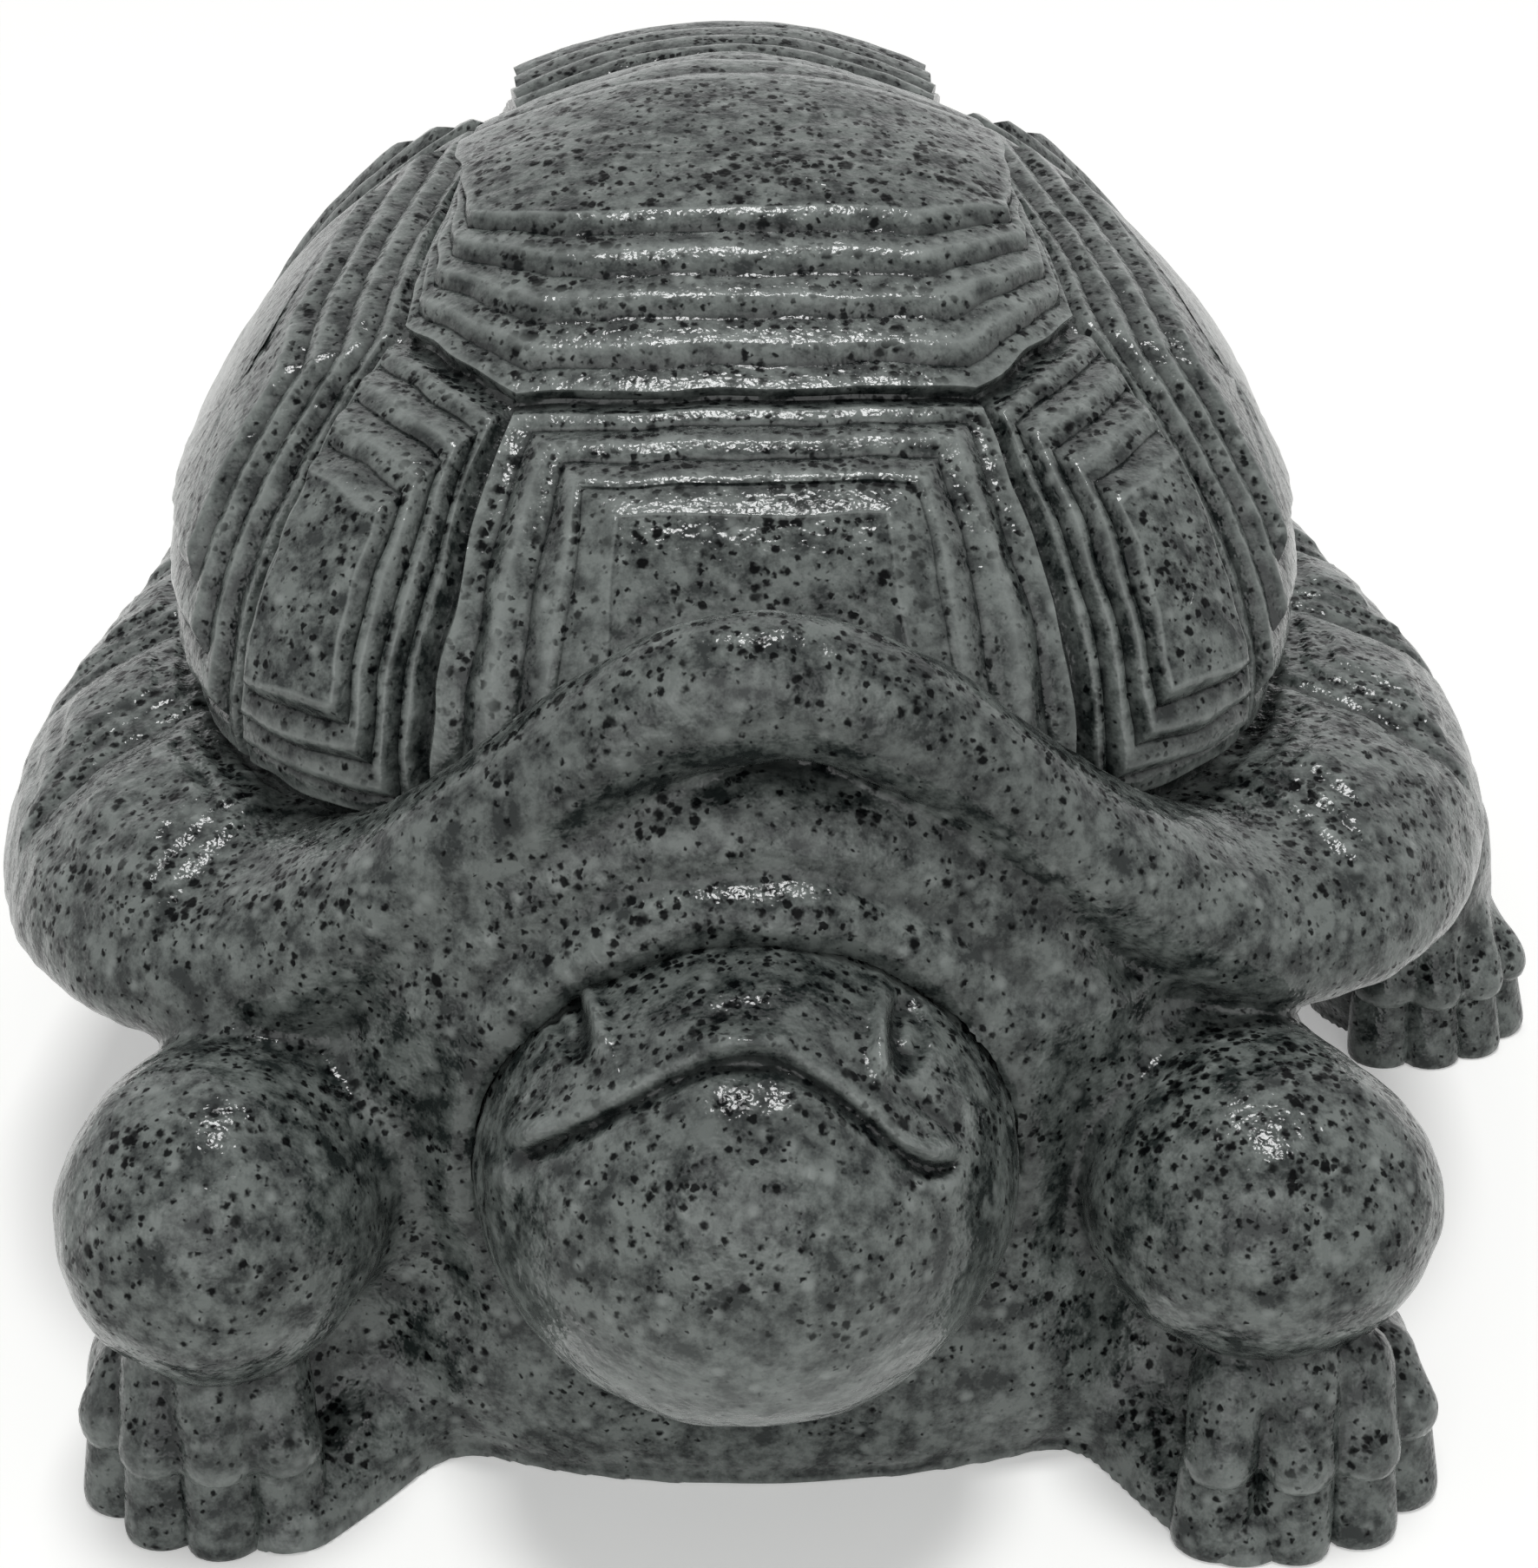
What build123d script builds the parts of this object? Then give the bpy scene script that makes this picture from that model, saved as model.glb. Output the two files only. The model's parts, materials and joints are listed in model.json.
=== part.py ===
from build123d import *
import math
import os

# Tortoise figurine in cast stone: separate castings, pinned together, that stand on one flat underside.
# Millimetres. +Z is up, the head faces -Y, +X is the tortoise's left, and z = 0 is the underside.

# Dome: the outer face of the scute plates, as an oval about the shell centre. An oval's squareness is given
# for its front half and its rear half: 2 is an ellipse, and more is nearer to a rectangle.
SHELL_CENTRE_Y = 3.0
DOME_HALF_WIDTH = 44.0
DOME_FRONT_REACH = 58.5
DOME_REAR_REACH = 61.5
DOME_SQUARENESS = (3.3, 2.0)
DOME_HEIGHT = 36.0
DOME_PROFILE_POWER = 1.75
SCUTE_STEPS = 3
SCUTE_STEP_RISE = 0.9
SCUTE_GROOVE_WIDTH = 1.4
SCUTE_GROOVE_DEPTH = 1.2
SCUTE_FOOT_RISE = 2.5
SCUTE_SPAN_LENGTH = 11.0
SCUTE_FOOT_PULL = 0.3

# Rim: flat seat plate, sloping skirt with a rolled edge, and a lip that arches over the neck. The skirt
# narrows towards the rear from an angle, in degrees from the front, by a share of its width.
RIM_SIDE_MARGIN = 10.5
RIM_FRONT_MARGIN = 6.0
RIM_REAR_MARGIN = 7.5
RIM_SQUARENESS = (3.6, 2.6)
RIM_TAPER = 0.3
RIM_TAPER_ANGLE = 65.0
RIM_SEAT_THICKNESS = 12.0
RIM_REBATE_DEPTH = 1.0
RIM_EDGE_THICKNESS = 8.0
RIM_EDGE_ROUND = 2.5
RIM_EDGE_RISE = 3.5
RIM_SIDE_DROP = 2.5
RIM_UNDERCUT = 4.5
RIM_UNDERSIDE_BEND = 0.4
RIM_PLATE_INSET = 16.0
RIM_PLATE_OVERLAP = 1.5
LIP_HALF_SPAN = 38.0
LIP_CREST_RISE = 14.0
LIP_EDGE_RISE = 19.0

# Body: belly block with a flat top for the rim, and the neck hump under the lip. Leads are measured ahead
# of the dome's front, and setbacks behind it.
BODY_HEIGHT = 30.0
BODY_SIDE_INSET = 3.0
BODY_FRONT_LEAD = 10.5
BODY_REAR_INSET = 5.5
BODY_SQUARENESS = (2.6, 2.6)
BELLY_TUCK = 3.5
BELLY_HEIGHT = 11.0
NECK_HALF_WIDTH = 27.0
NECK_ROOT_DEPTH = 10.0
NECK_CROWN_RISE = 15.5
NECK_CROWN_LEAD = 2.5
NECK_FRONT_LEAD = 9.5
NECK_REAR_SETBACK = 15.5
NECK_REAR_RISE = 3.0
NECK_FRONT_DROP = 4.5
NECK_FLARE = 6.0

# Head: an ellipsoid in a socket of the neck, against a flat joint face.
HEAD_LEAD = 8.5
HEAD_CENTRE_Z = 23.0
HEAD_RADIUS = 16.3
HEAD_HALF_LENGTH = 17.5
HEAD_JOINT_DEPTH = 8.0
MOUTH_WIDTH = 1.2
MOUTH_DEPTH = 1.0
MOUTH_ARC_RADIUS = 17.0
MOUTH_RISE = 4.5
MOUTH_CORNER_DROP = 1.5
EYE_RADIUS = 2.8
EYE_SIDE = 10.0
EYE_RISE = 8.0

# Legs: upper limb, knee ball, ankle, toes and nails, joined to the body at flat faces. The rear leg's
# places are measured from the shell's centre or ahead of the dome's rear end.
KNEE_RADIUS = 10.0
KNEE_OUTSET = 11.5
KNEE_LEAD = 9.5
KNEE_RIM_CLEARANCE = 0.5
SHOULDER_OUTSET = 6.5
SHOULDER_SETBACK = 7.5
LIMB_RADIUS = 8.5
FOOT_RADIUS = 8.2
FOOT_OUTSET = 2.0
ANKLE_RADIUS = 7.0
TOE_COUNT = 4
TOE_RADIUS = 2.5
TOE_SPREAD = 14.0
TOE_REACH = 4.8
TOE_ARCH = 1.6
TOE_KNUCKLE_Z = 7.5
TOE_KNUCKLE_SPREAD = 0.8
NAIL_LENGTH = 2.0
NAIL_RADIUS = 1.8
FRONT_JOINT_INSET = 18.5
FRONT_JOINT_SETBACK = 15.5
REAR_JOINT_INSET = 13.0
REAR_JOINT_AHEAD = 17.0
REAR_JOINT_TAIL_ROOM = 18.5
HIP_OUTSET = 7.0
HIP_BEHIND = 11.0
HIP_Z = 15.0
REAR_KNEE_INSET = 3.0
STEPPING_FOOT_OUTSET = 13.5
STEPPING_FOOT_AHEAD = 15.0
STEPPING_FOOT_TURN = 20.0
TRAILING_FOOT_OUTSET = 2.5
TRAILING_FOOT_TAIL_ROOM = 21.5
TRAILING_FOOT_TURN = 70.0

# Tail: a blunt cone behind a flat joint face.
TAIL_JOINT_HALF_WIDTH = 9.5
TAIL_JOINT_INSET = 16.5
TAIL_ROOT_RADIUS = 8.0
TAIL_ROOT_Z = 13.0
TAIL_LENGTH = 31.0
TAIL_TIP_RADIUS = 2.2
TAIL_TIP_Z = 5.0

# Dowels: plain pins, half of each in either casting.
DOWEL_RADIUS = 2.5
DOWEL_HALF_LENGTH = 8.0
DOWEL_CLEARANCE = 0.1
DOWEL_END_ROOM = 0.4
RIM_DOWEL_SIDE = 18.0
RIM_DOWEL_FRONT_Y = -22.0
RIM_DOWEL_REAR_Y = 34.0
SHELL_DOWEL_SIDE = 20.0
SHELL_DOWEL_FRONT_Y = -8.0
SHELL_DOWEL_REAR_Y = 20.0
LEG_DOWEL_Z = 14.0

# Clearance between curved faces that meet.
FIT_CLEARANCE = 0.3

SHELL_FRONT_Y = SHELL_CENTRE_Y - DOME_FRONT_REACH
SHELL_REAR_Y = SHELL_CENTRE_Y + DOME_REAR_REACH
BODY_HALF_WIDTH = DOME_HALF_WIDTH - BODY_SIDE_INSET
BODY_FRONT_REACH = DOME_FRONT_REACH + BODY_FRONT_LEAD
BODY_REAR_REACH = DOME_REAR_REACH - BODY_REAR_INSET
NECK_CROWN_Y = SHELL_FRONT_Y - NECK_CROWN_LEAD
NECK_FRONT_Y = SHELL_FRONT_Y - NECK_FRONT_LEAD
NECK_REAR_Y = SHELL_FRONT_Y + NECK_REAR_SETBACK
HEAD_CENTRE_Y = SHELL_FRONT_Y - HEAD_LEAD
KNEE_Y = SHELL_FRONT_Y - KNEE_LEAD
SHOULDER_Y = SHELL_FRONT_Y + SHOULDER_SETBACK
FRONT_JOINT_X = BODY_HALF_WIDTH - FRONT_JOINT_INSET
FRONT_JOINT_Y = SHELL_FRONT_Y + FRONT_JOINT_SETBACK
REAR_JOINT_X = BODY_HALF_WIDTH - REAR_JOINT_INSET
REAR_JOINT_FRONT_Y = SHELL_CENTRE_Y - REAR_JOINT_AHEAD
REAR_JOINT_REAR_Y = SHELL_REAR_Y - REAR_JOINT_TAIL_ROOM
HIP_Y = SHELL_CENTRE_Y + HIP_BEHIND
STEPPING_FOOT_Y = SHELL_CENTRE_Y - STEPPING_FOOT_AHEAD
TRAILING_FOOT_Y = SHELL_REAR_Y - TRAILING_FOOT_TAIL_ROOM
TAIL_JOINT_Y = SHELL_REAR_Y - TAIL_JOINT_INSET
SEAT_Z = BODY_HEIGHT + RIM_SEAT_THICKNESS
CORE_INSET = SCUTE_STEPS * SCUTE_STEP_RISE + SCUTE_GROOVE_DEPTH
KNEE_Z = BODY_HEIGHT + RIM_EDGE_RISE - RIM_EDGE_THICKNESS / 2 - KNEE_RIM_CLEARANCE - KNEE_RADIUS
HEAD_JOINT_Y = HEAD_CENTRE_Y + HEAD_JOINT_DEPTH
BIG = 4 * (DOME_FRONT_REACH + DOME_REAR_REACH)
OVAL_POINTS = 36


def oval_reach(angle, side, front, rear, squareness):
    """Distance from the shell centre to an oval, at an angle turned from the front towards +X."""
    along, power = (front, squareness[0]) if math.cos(angle) > 0 else (rear, squareness[1])
    across_part = abs(math.sin(angle) / side) ** power
    along_part = abs(math.cos(angle) / along) ** power
    return (across_part + along_part) ** (-1 / power)


def oval_wire(side, front, rear, squareness, z):
    """Closed smooth oval at one height."""
    places = []
    for step in range(OVAL_POINTS):
        angle = 2 * math.pi * step / OVAL_POINTS
        reach = oval_reach(angle, side, front, rear, squareness)
        places.append(Vector(reach * math.sin(angle), SHELL_CENTRE_Y - reach * math.cos(angle), z))
    return Wire([Edge.make_spline(places, periodic=True)])


def box_between(low, high):
    size = [top - bottom for bottom, top in zip(low, high)]
    return Solid.make_box(*size, Plane(low))


def ball(centre, radius):
    return Solid.make_sphere(radius, Plane(centre), angle1=-90, angle2=90, angle3=360)


def capsule(start, end, radius):
    """Limb of one thickness with round ends."""
    axis = end - start
    shaft = Solid.make_cylinder(radius, axis.length, Plane(start, z_dir=axis))
    return shaft.fuse(ball(start, radius), ball(end, radius))


def across(solid):
    """The same solid on the other side of the tortoise."""
    return solid.mirror(Plane.YZ)


def dowel(centre, direction):
    """A pin about a point of a joint face, and the hole that it is glued into."""
    axis = Vector(*direction).normalized()

    def cylinder(radius, half_length):
        plane = Plane(Vector(*centre) - axis * half_length, z_dir=axis)
        return Solid.make_cylinder(radius, 2 * half_length, plane)

    pin = cylinder(DOWEL_RADIUS, DOWEL_HALF_LENGTH)
    hole = cylinder(DOWEL_RADIUS + DOWEL_CLEARANCE, DOWEL_HALF_LENGTH + DOWEL_END_ROOM)
    return pin, hole


DOME_ROOT = Vector(0, SHELL_CENTRE_Y, SEAT_Z)


# Carapace: one closed skin of flat facets over the seat, with grooves between the stepped scutes.
def end_reach(along):
    return DOME_FRONT_REACH if along < 0 else DOME_REAR_REACH


def plan_share(across, along):
    """Share of the way out to the dome's oval, from shares of its half width and of its reach."""
    power = DOME_SQUARENESS[0] if along < 0 else DOME_SQUARENESS[1]
    return (abs(across) ** power + abs(along) ** power) ** (1 / power)


def dome_face(place, inset):
    """Point of the dome, drawn in evenly from the plates' outer face, on the ray through a place."""
    ray = place - DOME_ROOT
    plan = plan_share(ray.X / (DOME_HALF_WIDTH - inset), ray.Y / (end_reach(ray.Y) - inset))
    rise = abs(ray.Z / (DOME_HEIGHT - inset))
    stretch = (plan ** DOME_PROFILE_POWER + rise ** DOME_PROFILE_POWER) ** (-1 / DOME_PROFILE_POWER)
    return DOME_ROOT + ray * stretch


def scute_corner(across, along):
    """Corner from shares of the dome's half width and of its front or rear reach."""
    plan = plan_share(across, along)
    rise = DOME_HEIGHT * max(1 - plan ** DOME_PROFILE_POWER, 0.0) ** (1 / DOME_PROFILE_POWER)
    return DOME_ROOT + Vector(across * DOME_HALF_WIDTH, along * end_reach(along), max(rise, SCUTE_FOOT_RISE))


def side_spans(corners):
    """Number of short spans that each side of a scute is cut into."""
    ends = corners[1:] + corners[:1]
    return [math.ceil((end - start).length / SCUTE_SPAN_LENGTH) for start, end in zip(corners, ends)]


def ring_points(corners, spans, inset):
    """Closed ring on one level of the dome."""
    ring = []
    for start, end, count in zip(corners, corners[1:] + corners[:1], spans):
        ring += [dome_face(start + (end - start) * (span / count), inset) for span in range(count)]
    return ring


def drawn_in(corners, across_share, along_share, foot_anchor):
    """Scute outline shrunk across and along its own slope, about its middle or about its foot."""
    middle = sum(corners, Vector()) / len(corners)
    outward = middle - DOME_ROOT
    level_axis = Vector(0, 0, 1).cross(outward).normalized()
    if all(abs(corner.X + mate.X) < 1e-6 for corner, mate in zip(corners, reversed(corners))):
        level_axis = Vector(1, 0, 0)
    slope_axis = outward.cross(level_axis).normalized()
    spans = zip(*[tuple(corner) for corner in corners])
    anchor = Vector(*[(min(span) + max(span)) / 2 for span in spans])
    if foot_anchor:
        foot = min((corner + mate for corner, mate in zip(corners, corners[1:])), key=lambda p: p.Z) / 2
        anchor = foot + (middle - foot) * SCUTE_FOOT_PULL
    shrunk = []
    for corner in corners:
        offset = corner - anchor
        across = level_axis * offset.dot(level_axis)
        along = slope_axis * offset.dot(slope_axis)
        shrunk.append(anchor + across * across_share + along * along_share + (offset - across - along))
    return shrunk


def ledge_facets(outer, inner):
    """Pairs of triangles between two rings of as many points."""
    facets = []
    for index in range(len(outer)):
        after = (index + 1) % len(outer)
        facets.append((outer[index], outer[after], inner[after]))
        facets.append((outer[index], inner[after], inner[index]))
    return facets


def wall_facets(floor, edge):
    """Flat four-sided facets between two rings on the same rays."""
    count = len(floor)
    return [(floor[index], floor[(index + 1) % count], edge[(index + 1) % count], edge[index])
            for index in range(count)]


def scute_facets(corners, across_share, along_share, foot_anchor):
    """Groove floor, walls, ledges and plateau of one scute."""
    width = max(corner.X for corner in corners) - min(corner.X for corner in corners)
    groove_share = 1 - SCUTE_GROOVE_WIDTH / max(width, SCUTE_GROOVE_WIDTH * 4)
    spans = side_spans(corners)
    ring = ring_points(corners, spans, CORE_INSET)
    facets = []
    for step in range(SCUTE_STEPS + 1):
        part = step / SCUTE_STEPS
        shares = [groove_share + (share - groove_share) * part for share in (across_share, along_share)]
        outline = drawn_in(corners, *shares, foot_anchor)
        edge_inset = (SCUTE_STEPS - step) * SCUTE_STEP_RISE
        floor_inset = edge_inset + (SCUTE_STEP_RISE if step else SCUTE_GROOVE_DEPTH)
        floor = ring_points(outline, spans, floor_inset)
        edge = ring_points(outline, spans, edge_inset)
        facets += ledge_facets(ring, floor) + wall_facets(floor, edge)
        ring = edge
    crown = dome_face(sum(ring, Vector()) / len(ring), 0.0)
    for index, place in enumerate(ring):
        facets.append((place, ring[(index + 1) % len(ring)], crown))
    return facets


# Corners of each scute as shares of the dome, then its plateau's share across and along its slope.
FRONT_VERTEBRAL = ([(-0.51, -0.95), (0.51, -0.95), (0.385, -0.7), (-0.385, -0.7)], 0.47, 0.67, True)
SECOND_VERTEBRAL = (
    [(-0.385, -0.7), (0.385, -0.7), (0.577, -0.52), (0.37, 0.1), (-0.37, 0.1), (-0.577, -0.52)],
    0.75, 0.24, False)
THIRD_VERTEBRAL = (
    [(-0.37, 0.1), (0.37, 0.1), (0.5, 0.52), (0.32, 0.72), (-0.32, 0.72), (-0.5, 0.52)],
    0.7, 0.3, False)
REAR_VERTEBRAL = ([(-0.32, 0.72), (0.32, 0.72), (0.42, 0.895), (-0.42, 0.895)], 0.45, 0.62, False)
FRONT_COSTAL = ([(0.51, -0.95), (0.815, -0.795), (0.577, -0.52), (0.385, -0.7)], 0.45, 0.45, False)
SECOND_COSTAL = ([(0.815, -0.795), (0.985, 0.1), (0.37, 0.1), (0.577, -0.52)], 0.5, 0.45, False)
THIRD_COSTAL = ([(0.985, 0.1), (0.7, 0.7), (0.5, 0.52), (0.37, 0.1)], 0.5, 0.45, False)
REAR_COSTAL = ([(0.7, 0.7), (0.42, 0.895), (0.32, 0.72), (0.5, 0.52)], 0.45, 0.45, False)
VERTEBRALS = (FRONT_VERTEBRAL, SECOND_VERTEBRAL, THIRD_VERTEBRAL, REAR_VERTEBRAL)
COSTALS = (FRONT_COSTAL, SECOND_COSTAL, THIRD_COSTAL, REAR_COSTAL)


def all_scutes():
    """Every scute's corners and shares, with the costals on both sides."""
    scutes = list(VERTEBRALS)
    for corners, *shape in COSTALS:
        scutes.append((corners, *shape))
        scutes.append(([(-across, along) for across, along in reversed(corners)], *shape))
    return scutes


def carapace_solid():
    facets = []
    sides = {}
    for shares, *shape in all_scutes():
        corners = [scute_corner(*share) for share in shares]
        facets += scute_facets(corners, *shape)
        for index, share in enumerate(shares):
            following = shares[(index + 1) % len(shares)]
            if (following, share) in sides:
                del sides[following, share]
            else:
                sides[share, following] = True
    base = []
    for start, end in sides:
        first, last = scute_corner(*start), scute_corner(*end)
        count = side_spans([first, last])[0]
        upper = [dome_face(first + (last - first) * (span / count), CORE_INSET) for span in range(count + 1)]
        lower = [dome_face(Vector(place.X, place.Y, SEAT_Z), CORE_INSET) for place in upper]
        for index in range(count):
            facets.append((upper[index + 1], upper[index], lower[index]))
            facets.append((upper[index + 1], lower[index], lower[index + 1]))
        base += lower[:-1]
    base.sort(key=lambda place: math.atan2(place.X, place.Y - SHELL_CENTRE_Y))
    faces = [Face(Wire.make_polygon(facet)) for facet in facets]
    faces.append(Face(Wire.make_polygon(base)))
    return Solid(Shell(faces))


# Rim: two halves of the skirt, joined by the flat plate that the dome sits on. The stations, in degrees from
# the front, run past the middle plane at both ends, so that the halves meet smoothly where they are cut.
RIM_STATIONS = (-20, -10, 0, 10, 20, 30, 38, 46, 56, 70, 90, 110, 126, 138, 148, 158, 169, 180, 191, 202)


def lip_share(x):
    """How much of the front lip's arch stands at a place across the shell."""
    return math.cos(math.pi / 2 * min(abs(x) / LIP_HALF_SPAN, 1.0)) ** 2


def core_reach(angle):
    """Reach of the dome's foot."""
    sizes = (DOME_HALF_WIDTH, DOME_FRONT_REACH, DOME_REAR_REACH)
    return oval_reach(angle, *[size - CORE_INSET for size in sizes], DOME_SQUARENESS)


def rim_section(degrees):
    """Skirt profile in the upright plane at one angle from the front."""
    angle = math.radians(degrees)
    turned = min(abs(degrees), 360 - abs(degrees))
    narrowing = RIM_TAPER * max(turned - RIM_TAPER_ANGLE, 0.0) / (180 - RIM_TAPER_ANGLE)
    outer = oval_reach(angle, (DOME_HALF_WIDTH + RIM_SIDE_MARGIN) * (1 - narrowing),
                       DOME_FRONT_REACH + RIM_FRONT_MARGIN, DOME_REAR_REACH + RIM_REAR_MARGIN, RIM_SQUARENESS)
    arch = lip_share(outer * math.sin(angle)) if math.cos(angle) > 0 else 0.0
    drop = RIM_SIDE_DROP * (1 - max(math.cos(angle), 0.0) ** 2)
    edge_z = BODY_HEIGHT + RIM_EDGE_RISE - drop + arch * LIP_EDGE_RISE
    half = RIM_EDGE_THICKNESS / 2
    shoulder = outer - RIM_EDGE_ROUND
    wall = core_reach(angle) + FIT_CLEARANCE + math.sqrt(arch) * CORE_INSET
    crest_z = SEAT_Z + RIM_REBATE_DEPTH + arch * LIP_CREST_RISE
    inner = core_reach(angle) - RIM_PLATE_INSET
    under = outer - RIM_UNDERCUT
    bend_share = RIM_UNDERSIDE_BEND * (1 - arch)
    bend = under + (shoulder - under) * bend_share
    bend_z = BODY_HEIGHT + (edge_z - half - BODY_HEIGHT) * (bend_share + arch)

    def place(reach, z):
        return Vector(reach * math.sin(angle), SHELL_CENTRE_Y - reach * math.cos(angle), z)

    low, tip, high = place(shoulder, edge_z - half), place(outer, edge_z), place(shoulder, edge_z + half)
    corners = [high, place(wall, crest_z), place(wall, SEAT_Z), place(inner, SEAT_Z),
               place(inner, BODY_HEIGHT), place(under, BODY_HEIGHT), place(bend, bend_z), low]
    lines = [Edge.make_line(start, end) for start, end in zip(corners, corners[1:])]
    return Wire([Edge.make_three_point_arc(low, tip, high)] + lines)


def neck_hump(grow):
    """Arched mass of the neck, from inside the body to just behind the head."""
    stations = [
        (NECK_REAR_Y + grow, NECK_HALF_WIDTH + NECK_FLARE, NECK_REAR_RISE),
        ((NECK_REAR_Y + NECK_CROWN_Y) / 2, NECK_HALF_WIDTH + NECK_FLARE / 2, NECK_CROWN_RISE / 2),
        (NECK_CROWN_Y, NECK_HALF_WIDTH, NECK_CROWN_RISE),
        (NECK_FRONT_Y - grow, NECK_HALF_WIDTH - NECK_FLARE, NECK_CROWN_RISE - NECK_FRONT_DROP),
    ]
    sections = []
    for y, half_width, rise in stations:
        root_z = BODY_HEIGHT - NECK_ROOT_DEPTH
        left = Vector(half_width + grow, y, root_z)
        right = Vector(-half_width - grow, y, root_z)
        crown = Vector(0, y, BODY_HEIGHT + rise + grow)
        sections.append(Wire([Edge.make_three_point_arc(left, crown, right), Edge.make_line(right, left)]))
    return Solid.make_loft(sections)


def shell_rim_solid():
    skirt = Solid.make_loft([rim_section(degrees) for degrees in RIM_STATIONS])
    half = skirt & box_between((0.0, -BIG, -BIG), (BIG, BIG, BIG))
    reaches = [size - CORE_INSET - RIM_PLATE_INSET + RIM_PLATE_OVERLAP
               for size in (DOME_HALF_WIDTH, DOME_FRONT_REACH, DOME_REAR_REACH)]
    plate = Solid.extrude(Face(oval_wire(*reaches, DOME_SQUARENESS, BODY_HEIGHT)),
                          Vector(0, 0, RIM_SEAT_THICKNESS))
    return plate.fuse(half, across(half)).cut(neck_hump(FIT_CLEARANCE))


# Body: belly block and neck hump, open where the legs, the tail and the head are joined on.
def body_mass():
    """The whole soft mass under the shell, before the joints are cut."""
    sections = []
    belly_curve = ((0.0, BELLY_TUCK), (BELLY_HEIGHT / 3, BELLY_TUCK / 3), (BELLY_HEIGHT, 0.0))
    for z, tuck in (*belly_curve, (BODY_HEIGHT, 0.0)):
        reaches = [size - tuck for size in (BODY_HALF_WIDTH, BODY_FRONT_REACH, BODY_REAR_REACH)]
        sections.append(oval_wire(*reaches, BODY_SQUARENESS, z))
    return Solid.make_loft(sections).fuse(neck_hump(0.0))


def head_ball(grow):
    """Head ellipsoid, cut flat where it meets the neck."""
    middle = Vector(0, HEAD_CENTRE_Y, HEAD_CENTRE_Z)
    half_length, radius = HEAD_HALF_LENGTH + grow, HEAD_RADIUS + grow
    side_view = Plane(middle, x_dir=(0, 1, 0), z_dir=(1, 0, 0))
    profile = Edge.make_ellipse(half_length, radius, side_view, 0, 180)
    outline = Face(Wire([profile, Edge.make_line(profile @ 1, profile @ 0)]))
    whole = Solid.revolve(outline, 360, Axis(middle, (0, 1, 0)))
    return whole & box_between((-BIG, -BIG, -BIG), (BIG, HEAD_JOINT_Y, BIG))


def head_surface_y(x, z):
    """Front face of the head at a place seen from ahead."""
    level = 1 - (x / HEAD_RADIUS) ** 2 - ((z - HEAD_CENTRE_Z) / HEAD_RADIUS) ** 2
    return HEAD_CENTRE_Y - HEAD_HALF_LENGTH * math.sqrt(level)


def head_solid():
    """Head with two eyes and an arched mouth line of one depth."""
    arch_z = HEAD_CENTRE_Z + MOUTH_RISE - MOUTH_ARC_RADIUS
    plane = Plane((0, HEAD_CENTRE_Y, arch_z), x_dir=(1, 0, 0), z_dir=(0, -1, 0))
    outer = Solid.make_cylinder(MOUTH_ARC_RADIUS + MOUTH_WIDTH / 2, 2 * HEAD_HALF_LENGTH, plane)
    inner = Solid.make_cylinder(MOUTH_ARC_RADIUS - MOUTH_WIDTH / 2, 2 * HEAD_HALF_LENGTH, plane)
    below = box_between((-BIG, -BIG, -BIG), (BIG, BIG, HEAD_CENTRE_Z - MOUTH_CORNER_DROP))
    mouth = outer - inner - below - head_ball(-MOUTH_DEPTH)
    head = head_ball(0.0)
    for side in (-1, 1):
        eye_z = HEAD_CENTRE_Z + EYE_RISE
        eye_y = head_surface_y(EYE_SIDE, eye_z)
        head += ball((side * EYE_SIDE, eye_y + EYE_RADIUS / 2, eye_z), EYE_RADIUS)
    return head - mouth


# Legs, all made on the +X side: each casting takes its block of the body, the limb, the knee and the foot.
def foot_solid():
    """Ankle cone with a fan of toes towards -Y, each ending in a blunt nail."""
    shapes = [Solid.make_cone(FOOT_RADIUS, ANKLE_RADIUS, KNEE_Z)]
    for toe in range(TOE_COUNT):
        share = 2 * toe / (TOE_COUNT - 1) - 1
        side = share * (TOE_SPREAD - 2 * NAIL_RADIUS) / 2
        reach = FOOT_RADIUS - TOE_RADIUS + TOE_ARCH * (1 - share ** 2)
        knuckle = Vector(side * TOE_KNUCKLE_SPREAD, TOE_REACH - reach, TOE_KNUCKLE_Z)
        tip = Vector(side, -reach, TOE_RADIUS)
        nail_end = Vector(side, -reach - NAIL_LENGTH, NAIL_RADIUS)
        shapes += [capsule(knuckle, tip, TOE_RADIUS), capsule(tip, nail_end, NAIL_RADIUS)]
    return shapes[0].fuse(*shapes[1:])


def leg_solid(block, limb_root, knee, knee_radius, foot, bounds):
    limb = capsule(limb_root, knee, LIMB_RADIUS)
    return block.fuse(limb, ball(knee, knee_radius), foot) & bounds


def tail_solid(block):
    root = Vector(0, TAIL_JOINT_Y, TAIL_ROOT_Z)
    tip = Vector(0, TAIL_JOINT_Y + TAIL_LENGTH, TAIL_TIP_Z)
    axis = tip - root
    cone = Solid.make_cone(TAIL_ROOT_RADIUS, TAIL_TIP_RADIUS, axis.length, Plane(root, z_dir=axis))
    whole = block.fuse(cone, ball(tip, TAIL_TIP_RADIUS))
    return whole & box_between((-BIG, TAIL_JOINT_Y, 0.0), (BIG, BIG, BODY_HEIGHT))


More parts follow.
